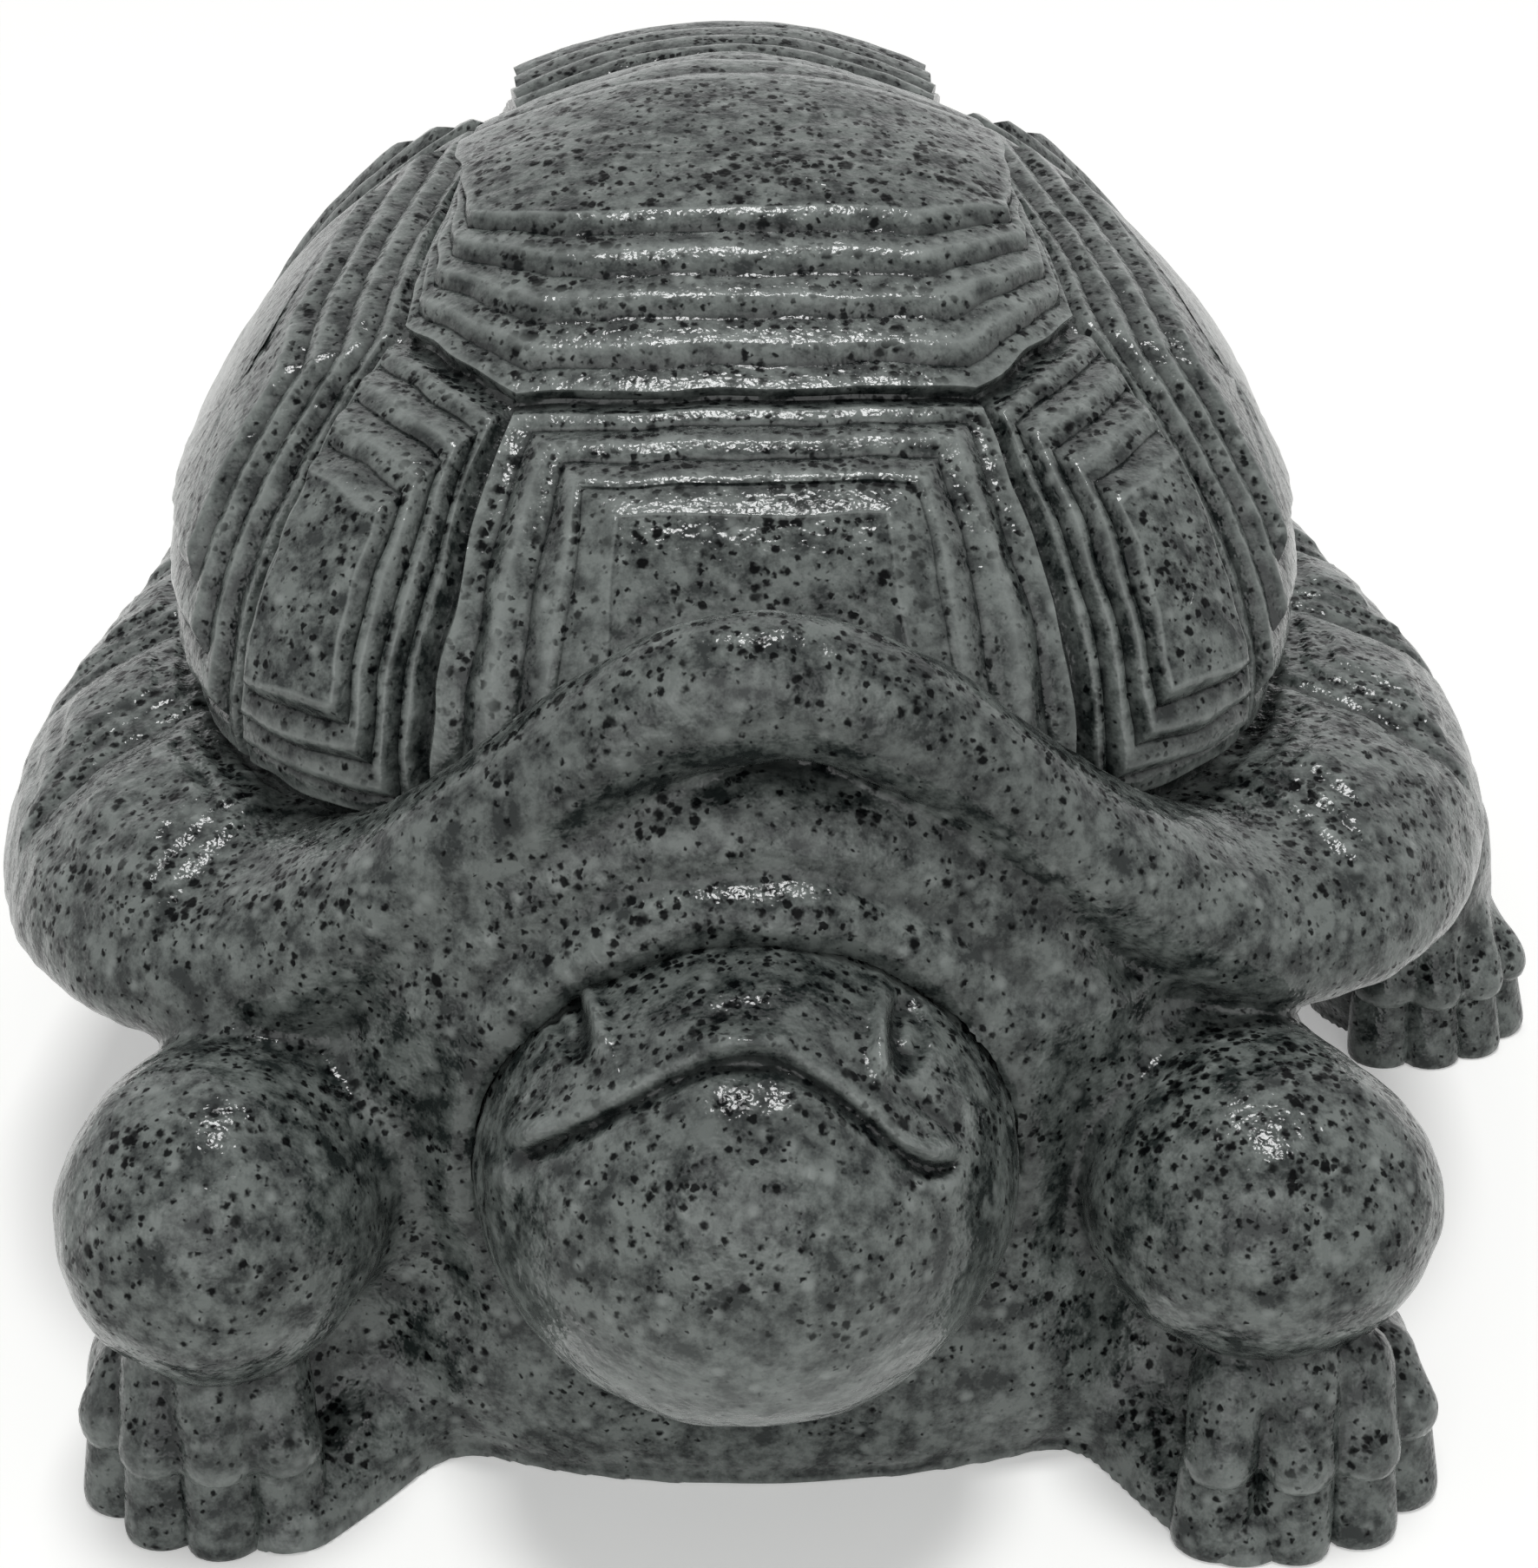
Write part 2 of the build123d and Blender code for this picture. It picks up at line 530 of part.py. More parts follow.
mass = body_mass()
front_room = box_between((FRONT_JOINT_X, -BIG, 0.0), (BIG, FRONT_JOINT_Y, BODY_HEIGHT))
rear_room = box_between((REAR_JOINT_X, REAR_JOINT_FRONT_Y, 0.0), (BIG, REAR_JOINT_REAR_Y, BODY_HEIGHT))
tail_room = box_between((-TAIL_JOINT_HALF_WIDTH, TAIL_JOINT_Y, 0.0),
                        (TAIL_JOINT_HALF_WIDTH, BIG, BODY_HEIGHT))

foot = foot_solid()
knee = Vector(FRONT_JOINT_X + KNEE_OUTSET, KNEE_Y, KNEE_Z)
shoulder = Vector(FRONT_JOINT_X + SHOULDER_OUTSET, SHOULDER_Y, KNEE_Z)
front_foot = foot.moved(Location((knee.X + FOOT_OUTSET, KNEE_Y, 0)))
front_leg = leg_solid(mass & front_room, shoulder, knee, KNEE_RADIUS, front_foot, front_room)

hip = Vector(REAR_JOINT_X + HIP_OUTSET, HIP_Y, HIP_Z)
stepping_foot_at = Vector(BODY_HALF_WIDTH + STEPPING_FOOT_OUTSET, STEPPING_FOOT_Y, 0)
stepping_leg = leg_solid(
    mass & rear_room, hip, stepping_foot_at + Vector(-REAR_KNEE_INSET, 0, HIP_Z), LIMB_RADIUS,
    foot.moved(Location(stepping_foot_at, (0, 0, STEPPING_FOOT_TURN))),
    box_between((REAR_JOINT_X, -BIG, 0.0), (BIG, REAR_JOINT_REAR_Y, BODY_HEIGHT)))
trailing_foot_at = Vector(BODY_HALF_WIDTH + TRAILING_FOOT_OUTSET, TRAILING_FOOT_Y, 0)
trailing_leg = leg_solid(
    mass & rear_room, hip, trailing_foot_at + Vector(-REAR_KNEE_INSET, 0, HIP_Z), LIMB_RADIUS,
    foot.moved(Location(trailing_foot_at, (0, 0, TRAILING_FOOT_TURN))),
    box_between((REAR_JOINT_X, REAR_JOINT_FRONT_Y, 0.0), (BIG, BIG, BODY_HEIGHT)))

# Dowels: pins and holes by joint.
UP, SIDEWAYS, LENGTHWISE = (0, 0, 1), (1, 0, 0), (0, 1, 0)
SIDES = (-1, 1)
rim_joint = [dowel((side * RIM_DOWEL_SIDE, y, BODY_HEIGHT), UP)
             for side in SIDES for y in (RIM_DOWEL_FRONT_Y, RIM_DOWEL_REAR_Y)]
shell_joint = [dowel((side * SHELL_DOWEL_SIDE, y, SEAT_Z), UP)
               for side in SIDES for y in (SHELL_DOWEL_FRONT_Y, SHELL_DOWEL_REAR_Y)]
front_leg_joint = [dowel((side * FRONT_JOINT_X, SHOULDER_Y, LEG_DOWEL_Z), SIDEWAYS) for side in SIDES]
rear_leg_joint = [dowel((side * REAR_JOINT_X, HIP_Y, LEG_DOWEL_Z), SIDEWAYS) for side in SIDES]
head_joint = [dowel((0, HEAD_JOINT_Y, HEAD_CENTRE_Z), LENGTHWISE)]
tail_joint = [dowel((0, TAIL_JOINT_Y, TAIL_ROOT_Z), LENGTHWISE)]


def pins(joint):
    return [pin for pin, hole in joint]


def holes(joint):
    return [hole for pin, hole in joint]


leg_joints = front_leg_joint + rear_leg_joint
body_holes = holes(rim_joint + leg_joints + head_joint + tail_joint)
rooms = [front_room, across(front_room), rear_room, across(rear_room), tail_room]
parts = {
    "carapace": carapace_solid().cut(*holes(shell_joint)),
    "shell_rim": shell_rim_solid().cut(*holes(rim_joint + shell_joint)),
    "body": mass.cut(*rooms, head_ball(FIT_CLEARANCE), *body_holes),
    "head": head_solid().cut(*holes(head_joint)),
    "front_left_leg": front_leg.cut(*holes(front_leg_joint)),
    "front_right_leg": across(front_leg).cut(*holes(front_leg_joint)),
    "rear_left_leg": stepping_leg.cut(*holes(rear_leg_joint)),
    "rear_right_leg": across(trailing_leg).cut(*holes(rear_leg_joint)),
    "tail": tail_solid(mass & tail_room).cut(*holes(tail_joint)),
    "carapace_dowels": Compound(pins(shell_joint)),
    "rim_dowels": Compound(pins(rim_joint)),
    "leg_dowels": Compound(pins(leg_joints)),
    "head_dowel": Compound(pins(head_joint)),
    "tail_dowel": Compound(pins(tail_joint)),
}

os.makedirs("parts", exist_ok=True)
for node, shape in parts.items():
    export_step(shape, f"parts/{node}.step")
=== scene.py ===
import json
import math

import bmesh
import bpy
import numpy as np
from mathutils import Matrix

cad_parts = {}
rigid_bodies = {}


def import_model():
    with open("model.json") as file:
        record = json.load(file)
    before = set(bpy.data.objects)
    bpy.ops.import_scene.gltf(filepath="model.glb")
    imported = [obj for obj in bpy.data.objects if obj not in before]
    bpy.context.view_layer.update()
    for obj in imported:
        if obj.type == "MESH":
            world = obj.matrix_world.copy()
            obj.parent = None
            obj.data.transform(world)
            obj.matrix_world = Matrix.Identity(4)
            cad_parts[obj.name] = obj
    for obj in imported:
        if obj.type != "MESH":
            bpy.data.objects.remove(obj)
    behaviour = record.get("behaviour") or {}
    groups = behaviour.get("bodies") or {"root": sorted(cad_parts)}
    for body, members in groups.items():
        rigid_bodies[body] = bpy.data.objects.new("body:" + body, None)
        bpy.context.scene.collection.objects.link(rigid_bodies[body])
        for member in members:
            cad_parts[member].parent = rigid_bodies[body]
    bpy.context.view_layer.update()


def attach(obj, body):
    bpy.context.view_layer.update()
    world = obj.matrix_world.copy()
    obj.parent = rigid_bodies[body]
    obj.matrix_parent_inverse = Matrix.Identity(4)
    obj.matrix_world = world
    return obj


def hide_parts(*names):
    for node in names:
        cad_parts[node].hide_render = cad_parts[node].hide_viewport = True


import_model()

import openvdb
from mathutils import Vector

# Body: the belly, chest and neck, one casting of stone-filled resin with a flat underside. The real one is
# modelled in clay first, and here the clay is a field of distances to its surface, in millimetres, on a fine
# grid that lumps are pressed on to. The legs, the tail and the rim are pressed on to the same clay.
CLAY_GRAIN = 0.5
CLAY_LOW = (-58.0, -84.0, -2.0)
CLAY_HIGH = (66.0, 83.0, 62.0)
OPEN_AIR, LUMP_ROOM = 40.0, 6.0
SHELL_Y = 3.0
BODY_TOP, TORSO_OVERLAP, TORSO_FILLET = 30.0, 2.0, 0.5
BODY_HALF_WIDTH, BODY_FRONT, BODY_REAR, BODY_SQUARENESS = 41.0, 69.0, 56.0, (2.6, 2.6)
BELLY_TUCK, BELLY_CURVE = 4.0, 10.0

clay_axes = [np.arange(low, high, CLAY_GRAIN, dtype=np.float32) for low, high in zip(CLAY_LOW, CLAY_HIGH)]
clay = np.full([len(axis) for axis in clay_axes], OPEN_AIR, np.float32)


def smooth_min(first, second, blend):
    """Union of two fields with a fillet of about the blend's size."""
    overlap = np.maximum(blend - np.abs(first - second), 0.0) / blend
    return np.minimum(first, second) - overlap * overlap * (blend / 4)


def smooth_max(first, second, blend):
    """What two fields share, with its edge rounded."""
    return -smooth_min(-first, -second, blend)


def around(low, high, axes):
    """Slices of a grid round a box, and the coordinates there."""
    spans = tuple(slice(*np.searchsorted(axis, (a - LUMP_ROOM, b + LUMP_ROOM)))
                  for axis, a, b in zip(axes, low, high))
    return spans, np.ix_(*[axis[span] for axis, span in zip(axes, spans)])


def press(lump, fillet):
    """Presses a lump on to the clay."""
    distance, low, high = lump
    spans, place = around(low, high, clay_axes)
    clay[spans] = smooth_min(clay[spans], distance(*place), fillet)


def carve(lump, rounding):
    """Takes a lump's shape out of the clay."""
    distance, low, high = lump
    spans, place = around(low, high, clay_axes)
    clay[spans] = smooth_max(clay[spans], -distance(*place), rounding)


def ellipsoid(centre, radii):
    centre, radii = np.array(centre), np.array(radii)

    def distance(x, y, z):
        level = np.sqrt(sum(((axis - c) / r) ** 2 for axis, c, r in zip((x, y, z), centre, radii)))
        slope = np.sqrt(sum(((axis - c) / r ** 2) ** 2 for axis, c, r in zip((x, y, z), centre, radii)))
        return level * (level - 1) / np.maximum(slope, 1e-4)

    return distance, centre - radii, centre + radii


def limb(start, end, start_radius, end_radius):
    """Round bar that tapers from one end to the other."""
    start, end = np.array(start, float), np.array(end, float)
    axis = end - start

    def distance(x, y, z):
        along = (x - start[0]) * axis[0] + (y - start[1]) * axis[1] + (z - start[2]) * axis[2]
        share = np.clip(along / (axis @ axis), 0.0, 1.0)
        gap = np.sqrt(sum((coord - s - share * a) ** 2 for coord, s, a in zip((x, y, z), start, axis)))
        return gap - start_radius - (end_radius - start_radius) * share

    reach = max(start_radius, end_radius)
    return distance, np.minimum(start, end) - reach, np.maximum(start, end) + reach


def oval_reach(x, y, side, front, rear, squareness):
    """Distance from the shell's middle to an oval, in the direction of each place.

    The squareness of its front half and its rear half is 2 for an ellipse and more for a boxier oval.
    """
    ahead = np.where(y < SHELL_Y, front, rear)
    power = np.where(y < SHELL_Y, *squareness)
    radius = np.maximum(np.hypot(x, y - SHELL_Y), 1e-3)
    share = np.abs(x / radius / side) ** power + np.abs((y - SHELL_Y) / radius / ahead) ** power
    return np.maximum(share, 1e-9) ** (-1 / power), radius


def torso(x, y, z):
    reach, radius = oval_reach(x, y, BODY_HALF_WIDTH, BODY_FRONT, BODY_REAR, BODY_SQUARENESS)
    tuck = BELLY_TUCK * np.clip(1 - z / BELLY_CURVE, 0.0, 1.0) ** 2
    return np.maximum(radius - reach + tuck, z - BODY_TOP - TORSO_OVERLAP)


everywhere = (np.array(CLAY_LOW) + LUMP_ROOM, np.array(CLAY_HIGH) - LUMP_ROOM)
press((torso, *everywhere), TORSO_FILLET)


def skin_roll(centre, half_width, half_height, thickness, depth):
    """Roll of skin that stands round the head like a collar."""
    centre = np.array(centre)

    def distance(x, y, z):
        level = np.hypot((x - centre[0]) / half_width, (z - centre[2]) / half_height)
        ring = (level - 1) * (half_width + half_height) / 2
        return np.hypot(ring, (y - centre[1]) * thickness / depth) - thickness

    reach = np.array((half_width + thickness, depth, half_height + thickness))
    return distance, centre - reach, centre + reach


NECK_LUMPS = (
    ((-1.0, -50.0, 26.0), (29.0, 14.0, 20.0)),
    ((-1.2, -55.0, 22.0), (24.5, 11.0, 19.5)),
)
OUTER_ROLL, OUTER_ROLL_FILLET = ((-1.0, -57.5, 21.5), 22.2, 21.8, 4.0, 4.6), 1.4
INNER_ROLL, INNER_ROLL_FILLET = ((-1.3, -61.0, 22.5), 18.0, 17.3, 2.7, 3.4), 0.7
CHEST_CENTRE, CHEST_RADII = (0.8, -59.5, 6.0), (27.0, 9.5, 13.0)
FULL_FILLET = 4.0

for centre, radii in NECK_LUMPS:
    press(ellipsoid(centre, radii), FULL_FILLET)
press(skin_roll(*OUTER_ROLL), OUTER_ROLL_FILLET)
press(skin_roll(*INNER_ROLL), INNER_ROLL_FILLET)
press(ellipsoid(CHEST_CENTRE, CHEST_RADII), FULL_FILLET)

# Front legs: each is a thick limb with a knee as round as a ball and a flat foot of four toes, cast in one.
# The two were carved by hand, so one knee is fuller than the other. A web of stone joins foot and chest.
FRONT_LEGS = {
    "front_left_leg": {
        "side": 1,
        "knee": (31.0, -65.0, 20.0),
        "knee_radii": (11.2, 10.6, 9.7),
        "knee_fillet": 1.0,
        "toes": ((27.0, -75.4), (32.4, -76.0), (37.3, -74.8), (41.2, -71.4)),
        "web": ((29.3, -73.0, 0.0), (23.5, -62.0, 2.0)),
    },
    "front_right_leg": {
        "side": -1,
        "knee": (-34.4, -64.6, 20.3),
        "knee_radii": (10.0, 10.4, 10.3),
        "knee_fillet": 1.8,
        "toes": ((-30.4, -71.6), (-34.9, -72.7), (-39.2, -71.6), (-42.7, -68.4)),
        "web": ((-31.0, -69.3, 0.0), (-23.5, -60.0, 2.0)),
    },
}
SHOULDER, SHOULDER_RADIUS = (25.0, -48.0, 17.0), 11.0
KNEE_SETBACK, KNEE_LIMB_RADIUS = 4.0, 9.0
ARMPIT, ARMPIT_RADIUS = (24.0, -52.0, 7.0), 9.5
WRIST_INSET, WRIST_SETBACK, WRIST_Z, WRIST_RADIUS = 1.0, 11.0, 6.5, 6.4
WEB_FOOT_RADIUS, WEB_CHEST_RADIUS, WEB_FILLET = 3.8, 4.6, 3.0
FOOT_SETBACK, FOOT_Z, FOOT_RADII, FOOT_FILLET = 10.0, 4.5, (8.3, 7.0, 8.2), 1.5
ANKLE_SETBACK = 16.0
TOE_RADIUS, KNUCKLE_RADIUS, TOE_FILLET = 2.4, 2.7, 0.6
TOE_SETBACK, TOE_LEAN, TOE_FOLD_Z, FOLD_LEDGE_Z = 1.9, 2.6, 6.3, 4.9
KNUCKLE_HEIGHTS = (10.5, 11.3, 10.5, 8.2)
claws = {}


def toe(knuckle, fold):
    """Toe from its knuckle down to its skin fold, which ends in a flat ledge over the claw."""
    bar, low, high = limb(knuckle, fold, KNUCKLE_RADIUS, TOE_RADIUS)

    def distance(x, y, z):
        return smooth_max(bar(x, y, z), FOLD_LEDGE_Z - z, TOE_FILLET)

    return distance, low, high


def press_toes(leg, toes, ankle):
    """Toes side by side down the front of the foot, and the places of the claws under their skin folds."""
    claws[leg] = []
    for (x, y), knuckle_z in zip(toes, KNUCKLE_HEIGHTS):
        back = np.array((ankle[0] - x, ankle[1] - y))
        back /= np.hypot(*back)
        fold = np.array((x, y)) + back * TOE_SETBACK
        knuckle = fold + back * TOE_LEAN
        press(toe((*knuckle, knuckle_z), (*fold, TOE_FOLD_Z)), TOE_FILLET)
        claws[leg].append((*fold, math.atan2(-back[0], back[1])))


for leg, form in FRONT_LEGS.items():
    side, knee = form["side"], form["knee"]
    toes_x, toes_y = np.mean(form["toes"], axis=0)
    shoulder = (side * SHOULDER[0], *SHOULDER[1:])
    behind_knee = (knee[0], knee[1] + KNEE_SETBACK, knee[2])
    armpit = (side * ARMPIT[0], *ARMPIT[1:])
    wrist = (toes_x - side * WRIST_INSET, toes_y + WRIST_SETBACK, WRIST_Z)
    press(limb(shoulder, behind_knee, SHOULDER_RADIUS, KNEE_LIMB_RADIUS), FULL_FILLET)
    press(limb(armpit, wrist, ARMPIT_RADIUS, WRIST_RADIUS), WEB_FILLET)
    press(limb(*form["web"], WEB_FOOT_RADIUS, WEB_CHEST_RADIUS), WEB_FILLET)
    press(ellipsoid((toes_x, toes_y + FOOT_SETBACK, FOOT_Z), FOOT_RADII), FOOT_FILLET)
    press(ellipsoid(knee, form["knee_radii"]), form["knee_fillet"])
    press_toes(leg, form["toes"], (toes_x, toes_y + ANKLE_SETBACK))

# Rear legs: stout limbs folded under the rim, each cast in one with its foot and pinned to the body. The one
# on the tortoise's left steps forward and shows beside the shell; the other trails behind.
REAR_FEET = {
    "rear_left_leg": (1, np.array((55.3, -11.8)), math.radians(18.0)),
    "rear_right_leg": (-1, np.array((-43.5, 43.0)), math.radians(-70.0)),
}
REAR_TOES = ((-6.3, 8.2), (-2.2, 9.8), (2.2, 9.6), (6.2, 7.6))
HIP, HIP_RADIUS = (33.0, 14.0, 15.0), 12.0
REAR_KNEE_INSET, REAR_KNEE_Z, REAR_KNEE_RADIUS = 3.0, 15.0, 8.6
REAR_ANKLE_Z, REAR_ANKLE_RADIUS, REAR_ANKLE_SETBACK, REAR_SHIN_FILLET = 5.0, 8.2, 6.0, 2.0
REAR_FOOT_RADII = (7.8, 7.4, 8.0)

for leg, (side, at, turn) in REAR_FEET.items():
    ahead = np.array((math.sin(turn), -math.cos(turn)))
    aside = np.array((math.cos(turn), math.sin(turn)))
    knee = (at[0] - side * REAR_KNEE_INSET, at[1], REAR_KNEE_Z)
    press(limb((side * HIP[0], *HIP[1:]), knee, HIP_RADIUS, REAR_KNEE_RADIUS), FULL_FILLET)
    press(limb(knee, (*at, REAR_ANKLE_Z), REAR_KNEE_RADIUS, REAR_ANKLE_RADIUS), REAR_SHIN_FILLET)
    press(ellipsoid((*at, FOOT_Z), REAR_FOOT_RADII), FOOT_FILLET)
    toes = [tuple(at + aside * across + ahead * reach) for across, reach in REAR_TOES]
    press_toes(leg, toes, at - ahead * REAR_ANKLE_SETBACK)

# Tail: a short blunt cone that lies behind the body and slopes to the ground. It is of the same stone as the
# body, cast apart and pinned on.
TAIL_ROOT, TAIL_TIP = (0.0, 52.0, 13.0), (0.0, 76.5, 5.0)
TAIL_ROOT_RADIUS, TAIL_TIP_RADIUS = 8.2, 2.4
press(limb(TAIL_ROOT, TAIL_TIP, TAIL_ROOT_RADIUS, TAIL_TIP_RADIUS), FULL_FILLET)

# Shell rim: the skirt of marginal scutes, one casting with a rolled edge and a thick lip that arches over
# the neck. The scutes are cut as shallow nested plates, and the dome sits in a seat inside the skirt. Carved
# by hand, the skirt lies a little askew and hangs lower on one side.
SEAT_Z, SEAT_ROOM = 38.2, 0.3
RIM_HALF_WIDTH, RIM_FRONT, RIM_REAR, RIM_SQUARENESS = 55.4, 64.5, 69.0, (3.6, 2.6)
RIM_TAPER, RIM_TAPER_ANGLE = 0.3, math.radians(65.0)
RIM_SKEW, RIM_TILT = 0.025, 1.1
CORE_HALF_WIDTH, CORE_FRONT, CORE_REAR, DOME_SQUARENESS = 40.1, 54.6, 57.6, (3.3, 2.0)
LIP_HALF_SPAN, LIP_CREST_RISE, LIP_EDGE_RISE, LIP_SETOFF = 38.0, 18.2, 20.5, 3.9
RIM_CREST_RISE, RIM_EDGE_Z, RIM_SIDE_DROP, RIM_HALF_EDGE = 0.6, 32.0, 4.0, 4.2
RIM_BULGE, LIP_BULGE_LOSS, RIM_OVERLAP, RIM_FILLET = 1.2, 0.6, 1.0, 1.8
RIM_UNDERCUT, RIM_SHELF_INSET, RIM_SHELF_WIDTH = 4.5, 2.0, 4.0
RIM_UPPER_ROUNDING, RIM_LOWER_ROUNDING = 5.5, 4.5
MARGINAL_ANGLES = np.radians((34.0, 50.0, 66.0, 84.0, 103.0, 122.0, 139.0, 154.0, 168.0, 180.0))
MARGINAL_STEPS, MARGINAL_STEP_RISE, MARGINAL_BEVEL = (0.5, 2.6, 4.6), 0.55, 0.5
MARGINAL_EDGE_ROOM, MARGINAL_WALL_OVERLAP, MARGINAL_FADE = 1.0, 0.5, 12


def marginal_plates(angle, outer, share, width):
    """Height of the nested plates above the groove between the marginal scutes."""
    count = np.interp(angle, MARGINAL_ANGLES, np.arange(len(MARGINAL_ANGLES)))
    length = outer * np.gradient(MARGINAL_ANGLES)[np.clip(count.astype(int), 0, len(MARGINAL_ANGLES) - 1)]
    part = count - np.floor(count)
    inside = np.minimum(np.minimum(part, 1 - part) * length, (1 - share) * width - MARGINAL_EDGE_ROOM)
    inside = np.minimum(inside, share * width + MARGINAL_WALL_OVERLAP)
    rise = sum(np.clip((inside - step) / MARGINAL_BEVEL, 0.0, 1.0) for step in MARGINAL_STEPS)
    return (rise - 1) * MARGINAL_STEP_RISE


def rim_skirt(x, y, z):
    angle = np.abs(np.arctan2(x, SHELL_Y - y))
    narrowing = RIM_TAPER * np.maximum(angle - RIM_TAPER_ANGLE, 0.0) / (math.pi - RIM_TAPER_ANGLE)
    half_width = RIM_HALF_WIDTH * (1 - narrowing)
    skewed = x - RIM_SKEW * (y - SHELL_Y)
    outer, _ = oval_reach(skewed, y, half_width, RIM_FRONT, RIM_REAR, RIM_SQUARENESS)
    core, radius = oval_reach(x, y, CORE_HALF_WIDTH, CORE_FRONT, CORE_REAR, DOME_SQUARENESS)
    ahead = np.clip((SHELL_Y - y) / radius, 0.0, 1.0)
    edge_x = np.minimum(np.abs(x) * outer / radius / LIP_HALF_SPAN, 1.0)
    arch = np.where(ahead > 0, np.cos(np.pi / 2 * edge_x) ** 2, 0.0)
    edge_z = RIM_EDGE_Z - RIM_SIDE_DROP * (1 - ahead ** 2) + RIM_TILT * x / RIM_HALF_WIDTH
    edge_z = edge_z + arch * LIP_EDGE_RISE
    wall = core + SEAT_ROOM + np.sqrt(arch) * LIP_SETOFF
    crest_z = SEAT_Z + RIM_CREST_RISE + arch * LIP_CREST_RISE
    width = np.maximum(outer - wall, 1.0)
    share = np.clip((radius - wall) / width, 0.0, 1.0)
    fall = crest_z - edge_z - RIM_HALF_EDGE
    top = crest_z - fall * share + RIM_BULGE * 4 * share * (1 - share) * (1 - LIP_BULGE_LOSS * arch)
    plates = marginal_plates(angle, outer, share, width)
    top = top + plates * np.clip(1 - arch * MARGINAL_FADE, 0.0, 1.0)
    slope = np.hypot(1.0, fall / width)
    inside = outer - radius
    under = edge_z - RIM_HALF_EDGE
    shelf = np.clip((inside - RIM_SHELF_INSET) / RIM_SHELF_WIDTH, 0.0, 1.0)
    under = under + shelf * np.maximum(BODY_TOP - under, 0.0)
    below = np.minimum(under - z, np.maximum(RIM_UNDERCUT - inside, BODY_TOP - RIM_OVERLAP - z))
    rolled = smooth_max((z - top) / slope, -inside, RIM_UPPER_ROUNDING)
    skirt = smooth_max(rolled, below, RIM_LOWER_ROUNDING)
    seat = np.maximum(radius - wall, SEAT_Z - z)
    return np.maximum(skirt, -seat)


press((rim_skirt, *everywhere), RIM_FILLET)

# Castings: the clay with a socket for the head and a thin flash along the ground, made a mesh and cut along
# the joint faces into the pieces that are cast apart and pinned together. All are of one batch of
# stone-filled resin, so they share one material.
MM = 0.001
HEAD_CENTRE, HEAD_RADII = np.array((-1.5, -64.0, 23.0)), np.array((17.0, 17.5, 15.3))
SOCKET_ROOM, SOCKET_ROUNDING = 0.05, 0.1
FLASH_REACH, FLASH_HEIGHT = 0.5, 0.9

carve(ellipsoid(HEAD_CENTRE, HEAD_RADII + SOCKET_ROOM), SOCKET_ROUNDING)
clay -= FLASH_REACH * np.clip(1 - clay_axes[2] / FLASH_HEIGHT, 0.0, 1.0)
clay = np.maximum(clay, -clay_axes[2])


def linear(hex_colour):
    """sRGB hex colour as linear light."""
    levels = [int(hex_colour[i:i + 2], 16) / 255 for i in (1, 3, 5)]
    return [*(v / 12.92 if v <= 0.04045 else ((v + 0.055) / 1.055) ** 2.4 for v in levels), 1.0]


def node(tree, kind, settings=None, **links):
    """Adds a node with its settings, and feeds its inputs from sockets or with values."""
    added = tree.nodes.new(kind)
    for name, value in (settings or {}).items():
        setattr(added, name, value)
    for name, source in links.items():
        socket = added.inputs[int(name[1:])] if name[1:].isdigit() else added.inputs[name.replace("_", " ")]
        if isinstance(source, bpy.types.NodeSocket):
            tree.links.new(source, socket)
        else:
            socket.default_value = source
    return added


# Granite-look cast stone: grey stone powder and black grit in clear resin, poured and lacquered. The eye
# sees round black specks on clouded grey, dark creases of painted shade, and broken, sparkling lights.
# Each grit has its spacing in mm, its smallest and largest grain as a share of that, and its blackness.
# The fourth colour is painted shade, laid into the creases
STONE_GREY, STONE_PALE, STONE_FLECK, STONE_PAINTED_SHADE = "#212726", "#6f7572", "#939996", "#0b0f10"
GRIT_BLACK = "#040506"
GRITS = ((1.0, -0.08, 0.33, 0.97), (0.66, -0.06, 0.36, 0.95), (1.5, -0.3, 0.24, 0.9))
CLOUD_SIZE, FLECK_SPACING, DRIFT_SIZE = 2.2, 2.1, 5.5
CHIP_SIZE, CHIP_SHIFT = 0.4, 0.5
CRINKLE_SIZE, CRINKLE_HEIGHT = 0.9, 0.2


